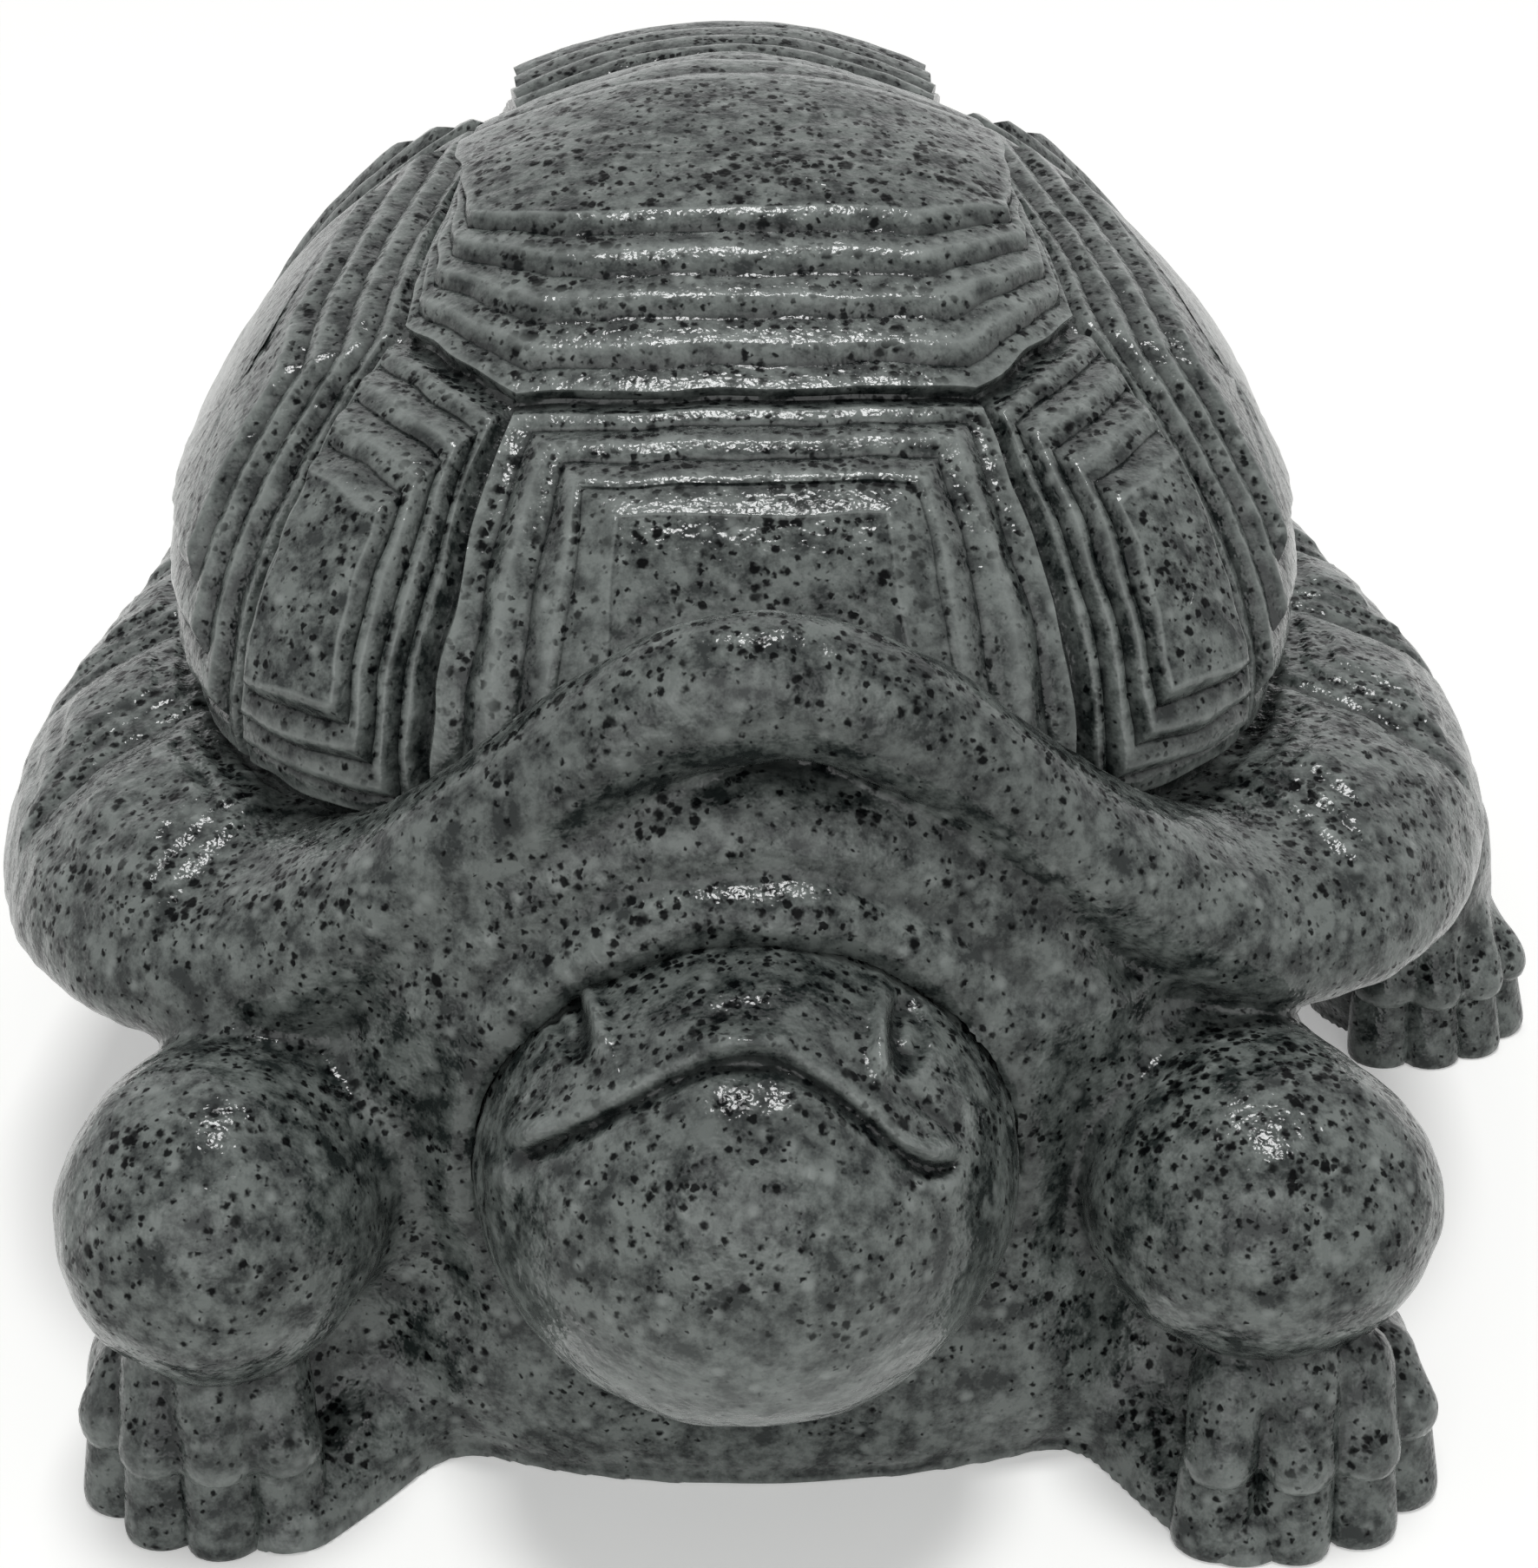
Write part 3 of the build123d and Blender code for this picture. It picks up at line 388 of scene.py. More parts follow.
def cast_stone():
    material = bpy.data.materials.new("cast_stone_granite_grit")
    material.use_nodes = True
    tree = material.node_tree
    tree.nodes.clear()
    place = node(tree, "ShaderNodeTexCoord").outputs["Object"]
    # Painted shade in the creases and pale wear on the edges, read from the mesh
    shade_and_wear = node(tree, "ShaderNodeAttribute", {"attribute_name": "shade_and_wear"}).outputs["Fac"]
    settled = node(tree, "ShaderNodeAttribute", {"attribute_name": "grit"}).outputs["Fac"]

    # Clouded stone powder with soft pale flecks
    clouds = node(tree, "ShaderNodeTexNoise", Vector=place, Scale=1 / (CLOUD_SIZE * MM), Detail=4.0,
                  Roughness=0.7)
    cloud = node(tree, "ShaderNodeMapRange", Value=clouds.outputs["Fac"], From_Min=0.39, From_Max=0.61)
    colour = node(tree, "ShaderNodeMix", {"data_type": "RGBA"}, i0=cloud.outputs[0],
                  i6=linear(STONE_GREY), i7=linear(STONE_PALE)).outputs[2]
    fleck = node(tree, "ShaderNodeTexVoronoi", Vector=place, Scale=1 / (FLECK_SPACING * MM))
    pale = node(tree, "ShaderNodeMapRange", {"interpolation_type": "SMOOTHSTEP"},
                Value=fleck.outputs["Distance"], From_Min=0.3, From_Max=0.05, To_Max=0.55)
    colour = node(tree, "ShaderNodeMix", {"data_type": "RGBA"}, i0=pale.outputs[0], i6=colour,
                  i7=linear(STONE_FLECK)).outputs[2]

    # Black grit with chipped edges, thicker where it drifted together or settled
    drift = node(tree, "ShaderNodeTexNoise", Vector=place, Scale=1 / (DRIFT_SIZE * MM), Detail=2.0)
    gathered = node(tree, "ShaderNodeMapRange", Value=drift.outputs["Fac"], From_Min=0.3, From_Max=0.7,
                    To_Min=-0.13, To_Max=0.11)
    thick = node(tree, "ShaderNodeMapRange", Value=settled, To_Min=-0.17, To_Max=0.08)
    more = node(tree, "ShaderNodeMath", {"operation": "ADD"}, i0=thick.outputs[0], i1=gathered.outputs[0])
    chips = node(tree, "ShaderNodeTexNoise", Vector=place, Scale=1 / (CHIP_SIZE * MM), Detail=1.0)
    shift = node(tree, "ShaderNodeVectorMath", {"operation": "SCALE"}, i0=chips.outputs["Color"],
                 Scale=CHIP_SHIFT * MM)
    chipped = node(tree, "ShaderNodeVectorMath", {"operation": "ADD"}, i0=place, i1=shift.outputs[0])
    black = 0.0
    for spacing, small, large, blackness in GRITS:
        grit = node(tree, "ShaderNodeTexVoronoi", Vector=chipped.outputs[0], Scale=1 / (spacing * MM))
        pick = node(tree, "ShaderNodeSeparateColor", Color=grit.outputs["Color"])
        size = node(tree, "ShaderNodeMapRange", Value=pick.outputs[0], To_Min=small, To_Max=large)
        grown = node(tree, "ShaderNodeMath", {"operation": "ADD"}, i0=size.outputs[0], i1=more.outputs[0])
        edge = node(tree, "ShaderNodeMath", {"operation": "SUBTRACT"}, i0=grown.outputs[0],
                    i1=grit.outputs["Distance"])
        grain = node(tree, "ShaderNodeMapRange", {"interpolation_type": "SMOOTHSTEP"}, Value=edge.outputs[0],
                     From_Min=-0.14, From_Max=0.1, To_Max=blackness)
        colour = node(tree, "ShaderNodeMix", {"data_type": "RGBA"}, i0=grain.outputs[0], i6=colour,
                      i7=linear(GRIT_BLACK)).outputs[2]
        black = node(tree, "ShaderNodeMath", {"operation": "MAXIMUM"}, i0=grain.outputs[0],
                     i1=black).outputs[0]

    # Painted shade in creases, under the lip, round the head and on the brow; worn edges, painted light on
    # the chin
    painted_shade = node(tree, "ShaderNodeMapRange", Value=shade_and_wear, To_Max=0.75)
    colour = node(tree, "ShaderNodeMix", {"data_type": "RGBA"}, i0=painted_shade.outputs[0], i6=colour,
                  i7=linear(STONE_PAINTED_SHADE)).outputs[2]
    wear_and_painted_light = node(tree, "ShaderNodeMapRange", Value=shade_and_wear, From_Min=0.0, From_Max=-1.0, To_Max=0.65)
    colour = node(tree, "ShaderNodeMix", {"data_type": "RGBA"}, i0=wear_and_painted_light.outputs[0], i6=colour,
                  i7=linear(STONE_FLECK)).outputs[2]

    # Crinkled lacquer, which lies thin over the grit
    crinkle = node(tree, "ShaderNodeTexNoise", Vector=place, Scale=1 / (CRINKLE_SIZE * MM), Detail=2.0,
                   Roughness=0.6)
    relief = node(tree, "ShaderNodeBump", Strength=0.8, Distance=CRINKLE_HEIGHT * MM,
                  Height=crinkle.outputs["Fac"])
    dull = node(tree, "ShaderNodeMapRange", Value=clouds.outputs["Fac"], To_Min=0.08, To_Max=0.24)
    gloss = node(tree, "ShaderNodeMapRange", Value=black, To_Min=0.34, To_Max=0.05)
    shader = node(tree, "ShaderNodeBsdfPrincipled", Base_Color=colour, Roughness=dull.outputs[0],
                  Specular_IOR_Level=gloss.outputs[0], Normal=relief.outputs[0])
    node(tree, "ShaderNodeOutputMaterial", Surface=shader.outputs[0])
    return material


stone = cast_stone()
HAND_UNEVENNESS = ((0.16, 9.0, 1), (0.07, 3.5, 2))
UNEVEN_ABOVE = 2.0
WAVES, WAVE_SPREAD, WAVE_GAIN = 10, (0.6, 1.5), 2.2
FLATTEST_SLOPE, LONGEST_MOVE = 0.05, 0.4
# Painted shade in the creases: how far round each point the bend is read, and how strongly it darkens
CREASE_SHADE_REACH, CREASE_SHADE_STRENGTH, CREASE_SHADE_START = 1.0, 0.9, 0.08
WEAR_STRENGTH, WEAR_START, WEAR_MOST = 0.8, 0.35, 0.6
GRIT_SETTLING = 0.6
SHARP_EDGE = math.radians(55.0)


def unevenness(points, wavelength, seed):
    """Slow rise and fall of a surface worked by hand, from waves in random directions."""
    random = np.random.default_rng(seed)
    waves = random.normal(size=(WAVES, 3))
    waves *= 2 * np.pi / wavelength / np.linalg.norm(waves, axis=1)[:, None]
    waves *= random.uniform(*WAVE_SPREAD, (WAVES, 1))
    return np.sin(points @ waves.T + random.uniform(0, 2 * np.pi, WAVES)).mean(axis=1) * WAVE_GAIN


def field_at(field, low, grain, points):
    """Value of a field at points, between its grid places."""
    place = (points - low) / grain
    base = np.clip(np.floor(place).astype(int), 0, np.array(field.shape) - 2)
    part = np.clip(place - base, 0.0, 1.0)
    value = 0.0
    for corner in np.ndindex(2, 2, 2):
        weight = np.prod(np.where(corner, part, 1 - part), axis=1)
        value = value + weight * field[tuple((base + corner).T)]
    return value


def field_slope(field, low, grain, points):
    steps = np.eye(3) * grain
    return np.stack([field_at(field, low, grain, points + step) - field_at(field, low, grain, points - step)
                     for step in steps], axis=1) / (2 * grain)


def surface_mesh(name, field, low, grain, uneven):
    """Closed mesh of a field's surface, each point moved on to it along the field's slope."""
    grid = openvdb.FloatGrid()
    grid.background = float(field.max())
    grid.copyFromArray(field)
    points, quads = grid.convertToQuads()
    points = points.astype(float) * grain + np.array(low)
    for _ in range(2):
        value = field_at(field, low, grain, points)
        slope = field_slope(field, low, grain, points)
        move = value / np.maximum((slope ** 2).sum(1), FLATTEST_SLOPE)
        points -= slope * np.clip(move, -LONGEST_MOVE, LONGEST_MOVE)[:, None]
    outward = slope / np.maximum(np.linalg.norm(slope, axis=1), 1e-6)[:, None]
    lifted = np.clip(points[:, 2:] / UNEVEN_ABOVE, 0.0, 1.0)
    for height, wavelength, seed in uneven:
        points += outward * lifted * (height * unevenness(points, wavelength, seed))[:, None]
    mesh = bpy.data.meshes.new(name)
    mesh.from_pydata(points * MM, [], quads.tolist())
    work = bmesh.new()
    work.from_mesh(mesh)
    bmesh.ops.recalc_face_normals(work, faces=work.faces)
    work.to_mesh(mesh)
    work.free()
    return mesh


def mark(mesh, name, values):
    """Gives each point of a mesh a value that the material reads."""
    mesh.attributes.new(name, "FLOAT", "POINT").data.foreach_set("value", values.astype(np.float32))


def mark_shade_and_wear(mesh, field, low, grain, painted_light_and_shade=None):
    """Marks painted shade in the creases and pale wear on the edges, and adds the painted light and shade
    given.
    """
    points = np.empty(len(mesh.vertices) * 3)
    mesh.vertices.foreach_get("co", points)
    points = points.reshape(-1, 3) / MM
    near = sum(field_at(field, low, grain, points + sign * step)
               for step in np.eye(3) * CREASE_SHADE_REACH for sign in (1, -1))
    bend = (near - 6 * field_at(field, low, grain, points)) / CREASE_SHADE_REACH ** 2
    # Painted shade where the surface bends inward, into a crease
    shade_and_wear_amount = np.clip(-bend * CREASE_SHADE_STRENGTH - CREASE_SHADE_START, 0.0, 1.0)
    shade_and_wear_amount = shade_and_wear_amount - np.clip(bend * WEAR_STRENGTH - WEAR_START, 0.0, WEAR_MOST)
    mark(mesh, "shade_and_wear", shade_and_wear_amount if painted_light_and_shade is None else shade_and_wear_amount + painted_light_and_shade(*points.T))


def settled_grit(mesh):
    """Marks where the black grit lies thick: it sinks to the floor of the mould, filled upside down."""
    facing = np.empty(len(mesh.vertices) * 3)
    mesh.vertices.foreach_get("normal", facing)
    upward = facing.reshape(-1, 3)[:, 2]
    mark(mesh, "grit", np.clip(upward * GRIT_SETTLING + 1 - GRIT_SETTLING, 0.0, 1.0))


def add_piece(name, mesh):
    piece = bpy.data.objects.new(name, mesh)
    bpy.context.scene.collection.objects.link(piece)
    return piece


def finish_casting(name, cad_node, mesh):
    """Gives a casting its stone and its place in the frame."""
    mesh.materials.clear()
    mesh.materials.append(stone)
    settled_grit(mesh)
    mesh.shade_smooth()
    mesh.set_sharp_from_angle(angle=SHARP_EDGE)
    piece = add_piece(name, mesh)
    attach(piece, "root")
    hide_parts(cad_node)


def cut_mesh(name, mesh, operation, tools):
    """A mesh cut by others along exact faces, without the flat folds that cutting can leave."""
    whole = add_piece(name, mesh)
    for tool in tools:
        cutter = whole.modifiers.new("joint", "BOOLEAN")
        cutter.operation = operation
        cutter.solver = "MANIFOLD"
        cutter.object = tool
    bpy.context.view_layer.update()
    result = bpy.data.meshes.new_from_object(whole.evaluated_get(bpy.context.evaluated_depsgraph_get()))
    bpy.data.objects.remove(whole)
    result.name = name
    work = bmesh.new()
    work.from_mesh(result)
    folds = {}
    for face in work.faces:
        folds.setdefault(frozenset(face.verts), []).append(face)
    flat = [face for twins in folds.values() if len(twins) > 1 for face in twins]
    bmesh.ops.delete(work, geom=flat, context="FACES")
    work.to_mesh(result)
    work.free()
    return result


def tool_mesh(name, shape, centre, size):
    """Closed tool for cutting, made of a unit shape about the origin."""
    work = bmesh.new()
    if shape == "box":
        bmesh.ops.create_cube(work, size=1.0)
    else:
        bmesh.ops.create_uvsphere(work, u_segments=96, v_segments=48, radius=1.0)
    for vert in work.verts:
        vert.co = (vert.co * Vector(size) + Vector(centre)) * MM
    mesh = bpy.data.meshes.new(name)
    work.to_mesh(mesh)
    work.free()
    return mesh


def room(low, high):
    """Box that cuts out the room of one casting."""
    middle = [(a + b) / 2 for a, b in zip(low, high)]
    return add_piece("room", tool_mesh("room", "box", middle, [b - a for a, b in zip(low, high)]))


FAR = 120.0
FRONT_JOINT_X, FRONT_JOINT_Y, JOINT_STEP = 22.5, -40.0, 1.0
REAR_JOINT_X, REAR_JOINT_FRONT_Y, REAR_JOINT_REAR_Y = 28.0, -14.0, 46.0
TAIL_JOINT_X, TAIL_JOINT_Y = 9.5, 48.0
RIM_UNDERSIDE, RIM_EDGE_X, RIM_EDGE_FRONT_Y, RIM_EDGE_REAR_Y = 24.8, 45.0, -62.0, 60.5
NECK_HUMP_CENTRE, NECK_HUMP_RADII = (-1.0, -58.0, 28.0), (24.5, 16.0, 20.0)
rooms = {
    "front_left_leg": room((FRONT_JOINT_X, -FAR, -FAR), (FAR, FRONT_JOINT_Y, BODY_TOP)),
    "front_right_leg": room((-FAR, -FAR, -FAR), (-FRONT_JOINT_X, FRONT_JOINT_Y, BODY_TOP)),
    "rear_left_leg": room((REAR_JOINT_X, FRONT_JOINT_Y + JOINT_STEP, -FAR),
                          (FAR, REAR_JOINT_REAR_Y, BODY_TOP)),
    "rear_right_leg": room((-FAR, REAR_JOINT_FRONT_Y, -FAR), (-REAR_JOINT_X, FAR, BODY_TOP)),
    "tail": room((-TAIL_JOINT_X, TAIL_JOINT_Y, -FAR), (TAIL_JOINT_X, FAR, BODY_TOP)),
}
neck_hump = add_piece("neck_hump", tool_mesh("neck_hump", "ball", NECK_HUMP_CENTRE, NECK_HUMP_RADII))
above = tool_mesh("above", "box", (0, 0, BODY_TOP + FAR / 2), (2 * FAR, 2 * FAR, FAR))
edge_room = [room((x, RIM_EDGE_FRONT_Y, RIM_UNDERSIDE), (x + FAR, FAR, FAR))
             for x in (RIM_EDGE_X, -RIM_EDGE_X - FAR)]
edge_room.append(room((-FAR, RIM_EDGE_REAR_Y, RIM_UNDERSIDE), (FAR, FAR, FAR)))
rim_room = add_piece("rim_room", cut_mesh("rim_room", above, "DIFFERENCE", [neck_hump]))
rim_room.data = cut_mesh("rim_room", rim_room.data, "UNION", edge_room)
clay_mesh = surface_mesh("clay", clay, CLAY_LOW, CLAY_GRAIN, HAND_UNEVENNESS)
castings = {leg: cut_mesh(leg, cut_mesh(leg, clay_mesh, "DIFFERENCE", [rim_room]), "INTERSECT", [space])
            for leg, space in rooms.items()}
castings["shell_rim"] = cut_mesh("shell_rim", clay_mesh, "INTERSECT", [rim_room])
castings["body"] = cut_mesh("body", clay_mesh, "DIFFERENCE", [*rooms.values(), rim_room])
for tool in (*rooms.values(), *edge_room, neck_hump, rim_room):
    bpy.data.objects.remove(tool)

# Painted shade under the lip over the neck, and in the joint round the head
LIP_PAINTED_SHADE, LIP_SHADE_Z, LIP_SHADE_SPREAD, LIP_SHADE_HALF_SPAN, LIP_SHADE_REAR_Y = 0.4, 48.0, 4.5, 26, -45
SOCKET_PAINTED_SHADE, SOCKET_SHADE_SPREAD = 0.75, 1.1


def lip_painted_shade(x, y, z):
    """Painted shade under the lip, over the neck."""
    level = np.exp(-((z - LIP_SHADE_Z) / LIP_SHADE_SPREAD) ** 2)
    return LIP_PAINTED_SHADE * level * np.clip(1.3 - np.abs(x) / LIP_SHADE_HALF_SPAN, 0.0, 1.0) * (y < LIP_SHADE_REAR_Y)


def socket_painted_shade(x, y, z):
    """Painted shade in the joint round the head."""
    gap = ellipsoid(HEAD_CENTRE, HEAD_RADII)[0](x, y, z)
    return SOCKET_PAINTED_SHADE * np.exp(-(gap / SOCKET_SHADE_SPREAD) ** 2)


# The rim and the body take this painted shade as well as that of their creases
painted_shades = {"shell_rim": lip_painted_shade, "body": socket_painted_shade}
for name, mesh in castings.items():
    mark_shade_and_wear(mesh, clay, CLAY_LOW, CLAY_GRAIN, painted_shades.get(name))
    finish_casting(name + "_cast", name, mesh)

# Head: a blunt round head that looks up, cast apart and pinned in its socket. The mouth is an arched cut
# under a rolled lip, with a puff at each corner, and each eye is an oval pit beside a ridge. Places on the
# face are millimetres across and up from its middle, and depths and heights are millimetres too.
HEAD_GRAIN = 0.3
HEAD_LOW, HEAD_HIGH = (-21.0, -84.0, 3.0), (18.0, -53.0, 41.0)
HEAD_JOINT_Y = -56.0
HEAD_UNEVENNESS = ((0.1, 7.0, 3), (0.05, 2.6, 4))
GAZE, FACE_FADE = math.radians(28.0), 4.0
MOUTH_LINE = ((-12.7, 2.3), (-8.3, 4.4), (-3.3, 6.9), (0.5, 7.4), (4.6, 5.5), (8.5, 2.1), (11.5, 1.0))
MOUTH_BEND_ENDS, MOUTH_ENDS, MOUTH_FADE = (-13.2, 12.0), (-13.9, 12.6), 1.5
# Above the mouth's line, half height, depth: the narrow cut, its wide edge, the rolled lip, the dip below
MOUTH_CUTS = ((0.0, 0.4, 0.5), (0.0, 0.95, 0.45), (1.2, 0.9, -0.25), (-1.2, 1.0, 0.15))
# Across, up, half width, half height, turn, height
FACE_FORMS = {
    "snout": (-0.3, 8.9, 2.6, 0.8, 0.0, 0.85),
    "brow": (0.0, 11.5, 6.0, 3.5, 0.0, 0.7),
    "right_puff": (-13.2, 3.4, 1.6, 0.8, 0.3, 0.9),
    "right_cheek": (-14.8, 0.7, 0.9, 1.1, 0.0, 0.6),
    "left_puff": (9.7, 2.3, 1.9, 0.65, -0.3, 0.8),
    "left_cheek": (10.9, 0.2, 1.3, 0.8, 0.0, 0.45),
    "left_crease": (10.1, 4.5, 2.9, 0.35, -0.72, -0.4),
}
# Across, up, turn, depth as a share, and how far across its ridge stands
EYES = ((9.3, 8.5, -0.12, 1.0, -1.6), (-10.6, 9.6, 0.35, 0.75, 1.6))
EYE_PIT, EYE_PIT_DEPTH, EYE_PIT_EDGE = (1.5, 2.4), 1.2, (2.2, 0.7)
EYEBALL, EYEBALL_HEIGHT, EYEBALL_SHIFT = (0.8, 1.6), 0.8, 0.2
EYE_RIDGE, EYE_RIDGE_HEIGHT, EYE_RIDGE_LIFT = (0.5, 2.6), 0.9, 0.2
# Ahead of the head's middle, depth
FOLD_LINES, FOLD_LINE_HALF_WIDTH = ((3.2, 0.22), (5.0, 0.16), (1.2, 0.22)), 0.35

head_axes = [np.arange(low, high, HEAD_GRAIN, dtype=np.float32) for low, high in zip(HEAD_LOW, HEAD_HIGH)]
head_x, head_y, head_z = np.ix_(*head_axes)
head = ellipsoid(HEAD_CENTRE, HEAD_RADII)[0](head_x, head_y, head_z)
face_across = head_x - HEAD_CENTRE[0]
face_up = (head_y - HEAD_CENTRE[1]) * math.sin(GAZE) + (head_z - HEAD_CENTRE[2]) * math.cos(GAZE)
face_ahead = (head_z - HEAD_CENTRE[2]) * math.sin(GAZE) - (head_y - HEAD_CENTRE[1]) * math.cos(GAZE)
in_front = np.clip(face_ahead / FACE_FADE, 0.0, 1.0)


def swelling(across, up, half_width, half_height, turn):
    """Rounded swelling about a point of the face, as a share of its height."""
    level = (face_across - across) * math.cos(turn) + (face_up - up) * math.sin(turn)
    upright = (face_up - up) * math.cos(turn) - (face_across - across) * math.sin(turn)
    return np.exp(-(level / half_width) ** 2 - (upright / half_height) ** 2) * in_front


mouth_bend = np.polyfit(*np.array(MOUTH_LINE).T, 5)
over_mouth = face_up - np.polyval(mouth_bend, np.clip(face_across, *MOUTH_BEND_ENDS))
mouth_span = np.clip((face_across - MOUTH_ENDS[0]) / MOUTH_FADE, 0.0, 1.0) * in_front
mouth_span = mouth_span * np.clip((MOUTH_ENDS[1] - face_across) / MOUTH_FADE, 0.0, 1.0)
for above_line, half_height, depth in MOUTH_CUTS:
    head = head + depth * np.exp(-((over_mouth - above_line) / half_height) ** 2) * mouth_span
for *form, height in FACE_FORMS.values():
    head = head - height * swelling(*form)
for across, up, turn, depth, ridge in EYES:
    steep, flat_rim = EYE_PIT_EDGE
    pit = np.clip(steep * swelling(across, up, *EYE_PIT, turn) - flat_rim, 0.0, 1.0)
    eyeball = swelling(across - ridge * EYEBALL_SHIFT, up, *EYEBALL, turn)
    head = head + depth * (EYE_PIT_DEPTH * pit - EYEBALL_HEIGHT * eyeball)
    head = head - depth * EYE_RIDGE_HEIGHT * swelling(across + ridge, up + EYE_RIDGE_LIFT, *EYE_RIDGE, turn)
for ahead, depth in FOLD_LINES:
    head = head + depth * np.exp(-((face_ahead - ahead) / FOLD_LINE_HALF_WIDTH) ** 2)
head = np.maximum(head, head_y - HEAD_JOINT_Y).astype(np.float32)
head_mesh = surface_mesh("head", head, HEAD_LOW, HEAD_GRAIN, HEAD_UNEVENNESS)

# Painted shade on the brow, painted light on the chin
BROW_PAINTED_SHADE, BROW_HALF_WIDTH, BROW_Z, BROW_FADE = 0.35, 7.0, 31.0, 3.0
CHIN_PAINTED_LIGHT, CHIN_TOP_Z, CHIN_FADE, CHIN_BACK_Y, CHIN_BACK_FADE = 0.5, 27.0, 11.0, -60.0, 6.0


def face_painted_light_and_shade(x, y, z):
    """Painted light on the chin and painted shade on the brow."""
    brow = np.exp(-((x - HEAD_CENTRE[0]) / BROW_HALF_WIDTH) ** 2)
    brow = brow * np.clip((z - BROW_Z) / BROW_FADE, 0.0, 1.0)
    chin = np.clip((CHIN_TOP_Z - z) / CHIN_FADE, 0.0, 1.0)
    chin = chin * np.clip((CHIN_BACK_Y - y) / CHIN_BACK_FADE, 0.0, 1.0)
    return BROW_PAINTED_SHADE * brow - CHIN_PAINTED_LIGHT * chin


mark_shade_and_wear(head_mesh, head, HEAD_LOW, HEAD_GRAIN, face_painted_light_and_shade)
finish_casting("head_cast", "head", head_mesh)

# Carapace: the domed upper shell, one casting that sits in the rim. Its scutes stand up as stacks of
# nested plates with bevelled edges and a scored line at the foot of each, cut by hand.
DOME_RIGHT, DOME_LEFT, DOME_FRONT, DOME_REAR = 44.0, 42.6, 58.5, 61.5
DOME_HEIGHT, DOME_PROFILE = 36.0, 1.75
DOME_ROOT = np.array((0.0, SHELL_Y, 42.0))
FOOT_SHARE, FOOT_DROP, SCUTE_FOOT_PULL = 0.98, 3.2, 0.3
STACK_RISE, GROOVE_WIDTH = 2.7, 1.8
POINT_SPACING, MERGE_GAP = 0.8, 0.01
SIDE_WAVER, SIDE_WAVER_LENGTH = 0.2, 6.0
DEPTH_WAVERS = ((0.05, 3.0, 14), (0.14, 13.0, 15))
# Share of the groove's width, depth below the plates' foot, painted shade (below 0, pale worn stone)
GROOVE_WALL = ((0.0, 1.2, 1.0), (0.4, 1.0, 0.8), (0.75, 0.3, 0.2), (1.0, 0.0, -0.6))
# Share of a plate's width, share of its rise, painted shade that turns to worn stone below 0: the plain edge,
# and the wide bevel round a large plateau
PLATE_EDGE = ((0.05, 0.0, -0.6), (0.25, 0.0, 0.0), (0.42, -0.06, 0.2), (0.5, -0.24, 1.0), (0.58, 0.05, 0.6),
              (0.74, 0.5, 0.1), (0.9, 0.92, -0.5), (1.0, 1.0, -0.8))
WIDE_EDGE = ((0.05, 0.0, -0.3), (0.12, 0.0, 0.0), (0.17, -0.15, 0.7), (0.22, 0.0, 0.3), (0.3, 0.12, -0.1),
             (0.86, 0.9, -0.3), (0.92, 0.92, -0.6), (0.97, 0.82, 0.3), (1.0, 0.8, 0.2))
PLATEAU_SHARES = (0.96, 0.85, 0.65, 0.4, 0.2)


def plan_share(across, along):
    """Share of the way out to the dome's oval, from shares of its half width and of its reach."""
    power = np.where(along < 0, *DOME_SQUARENESS)
    return (np.abs(across) ** power + np.abs(along) ** power) ** (1 / power)


def dome_face(places, inset):
    """Points of the dome, drawn in from the plates' outer face, on the rays through places."""
    ray = places - DOME_ROOT
    side = np.where(ray[:, 0] < 0, DOME_RIGHT, DOME_LEFT)
    reach = np.where(ray[:, 1] < 0, DOME_FRONT, DOME_REAR)
    plan = plan_share(ray[:, 0] / (side - inset), ray[:, 1] / (reach - inset))
    rise = np.abs(ray[:, 2] / (DOME_HEIGHT - inset))
    stretch = (plan ** DOME_PROFILE + rise ** DOME_PROFILE) ** (-1 / DOME_PROFILE)
    return DOME_ROOT + ray * stretch[:, None]


def scute_corner(across, along):
    """Corner from shares of the dome's half width and of its front or rear reach."""
    side = DOME_RIGHT if across < 0 else DOME_LEFT
    reach = DOME_FRONT if along < 0 else DOME_REAR
    plan = plan_share(across, along)
    rise = -FOOT_DROP if plan > FOOT_SHARE else DOME_HEIGHT * (1 - plan ** DOME_PROFILE) ** (1 / DOME_PROFILE)
    return DOME_ROOT + np.array((across * side, along * reach, rise))


def hand_cut(points, inset):
    """Points on the dome, with the waver of a hand-held cutter."""
    aside = np.stack([unevenness(points, SIDE_WAVER_LENGTH, seed) for seed in (11, 12, 13)], axis=1)
    depth = sum(height * unevenness(points, wavelength, seed) for height, wavelength, seed in DEPTH_WAVERS)
    return dome_face(points + aside * SIDE_WAVER, inset + depth)


shell_points, shell_quads, shell_shade_and_wear = [], [], []


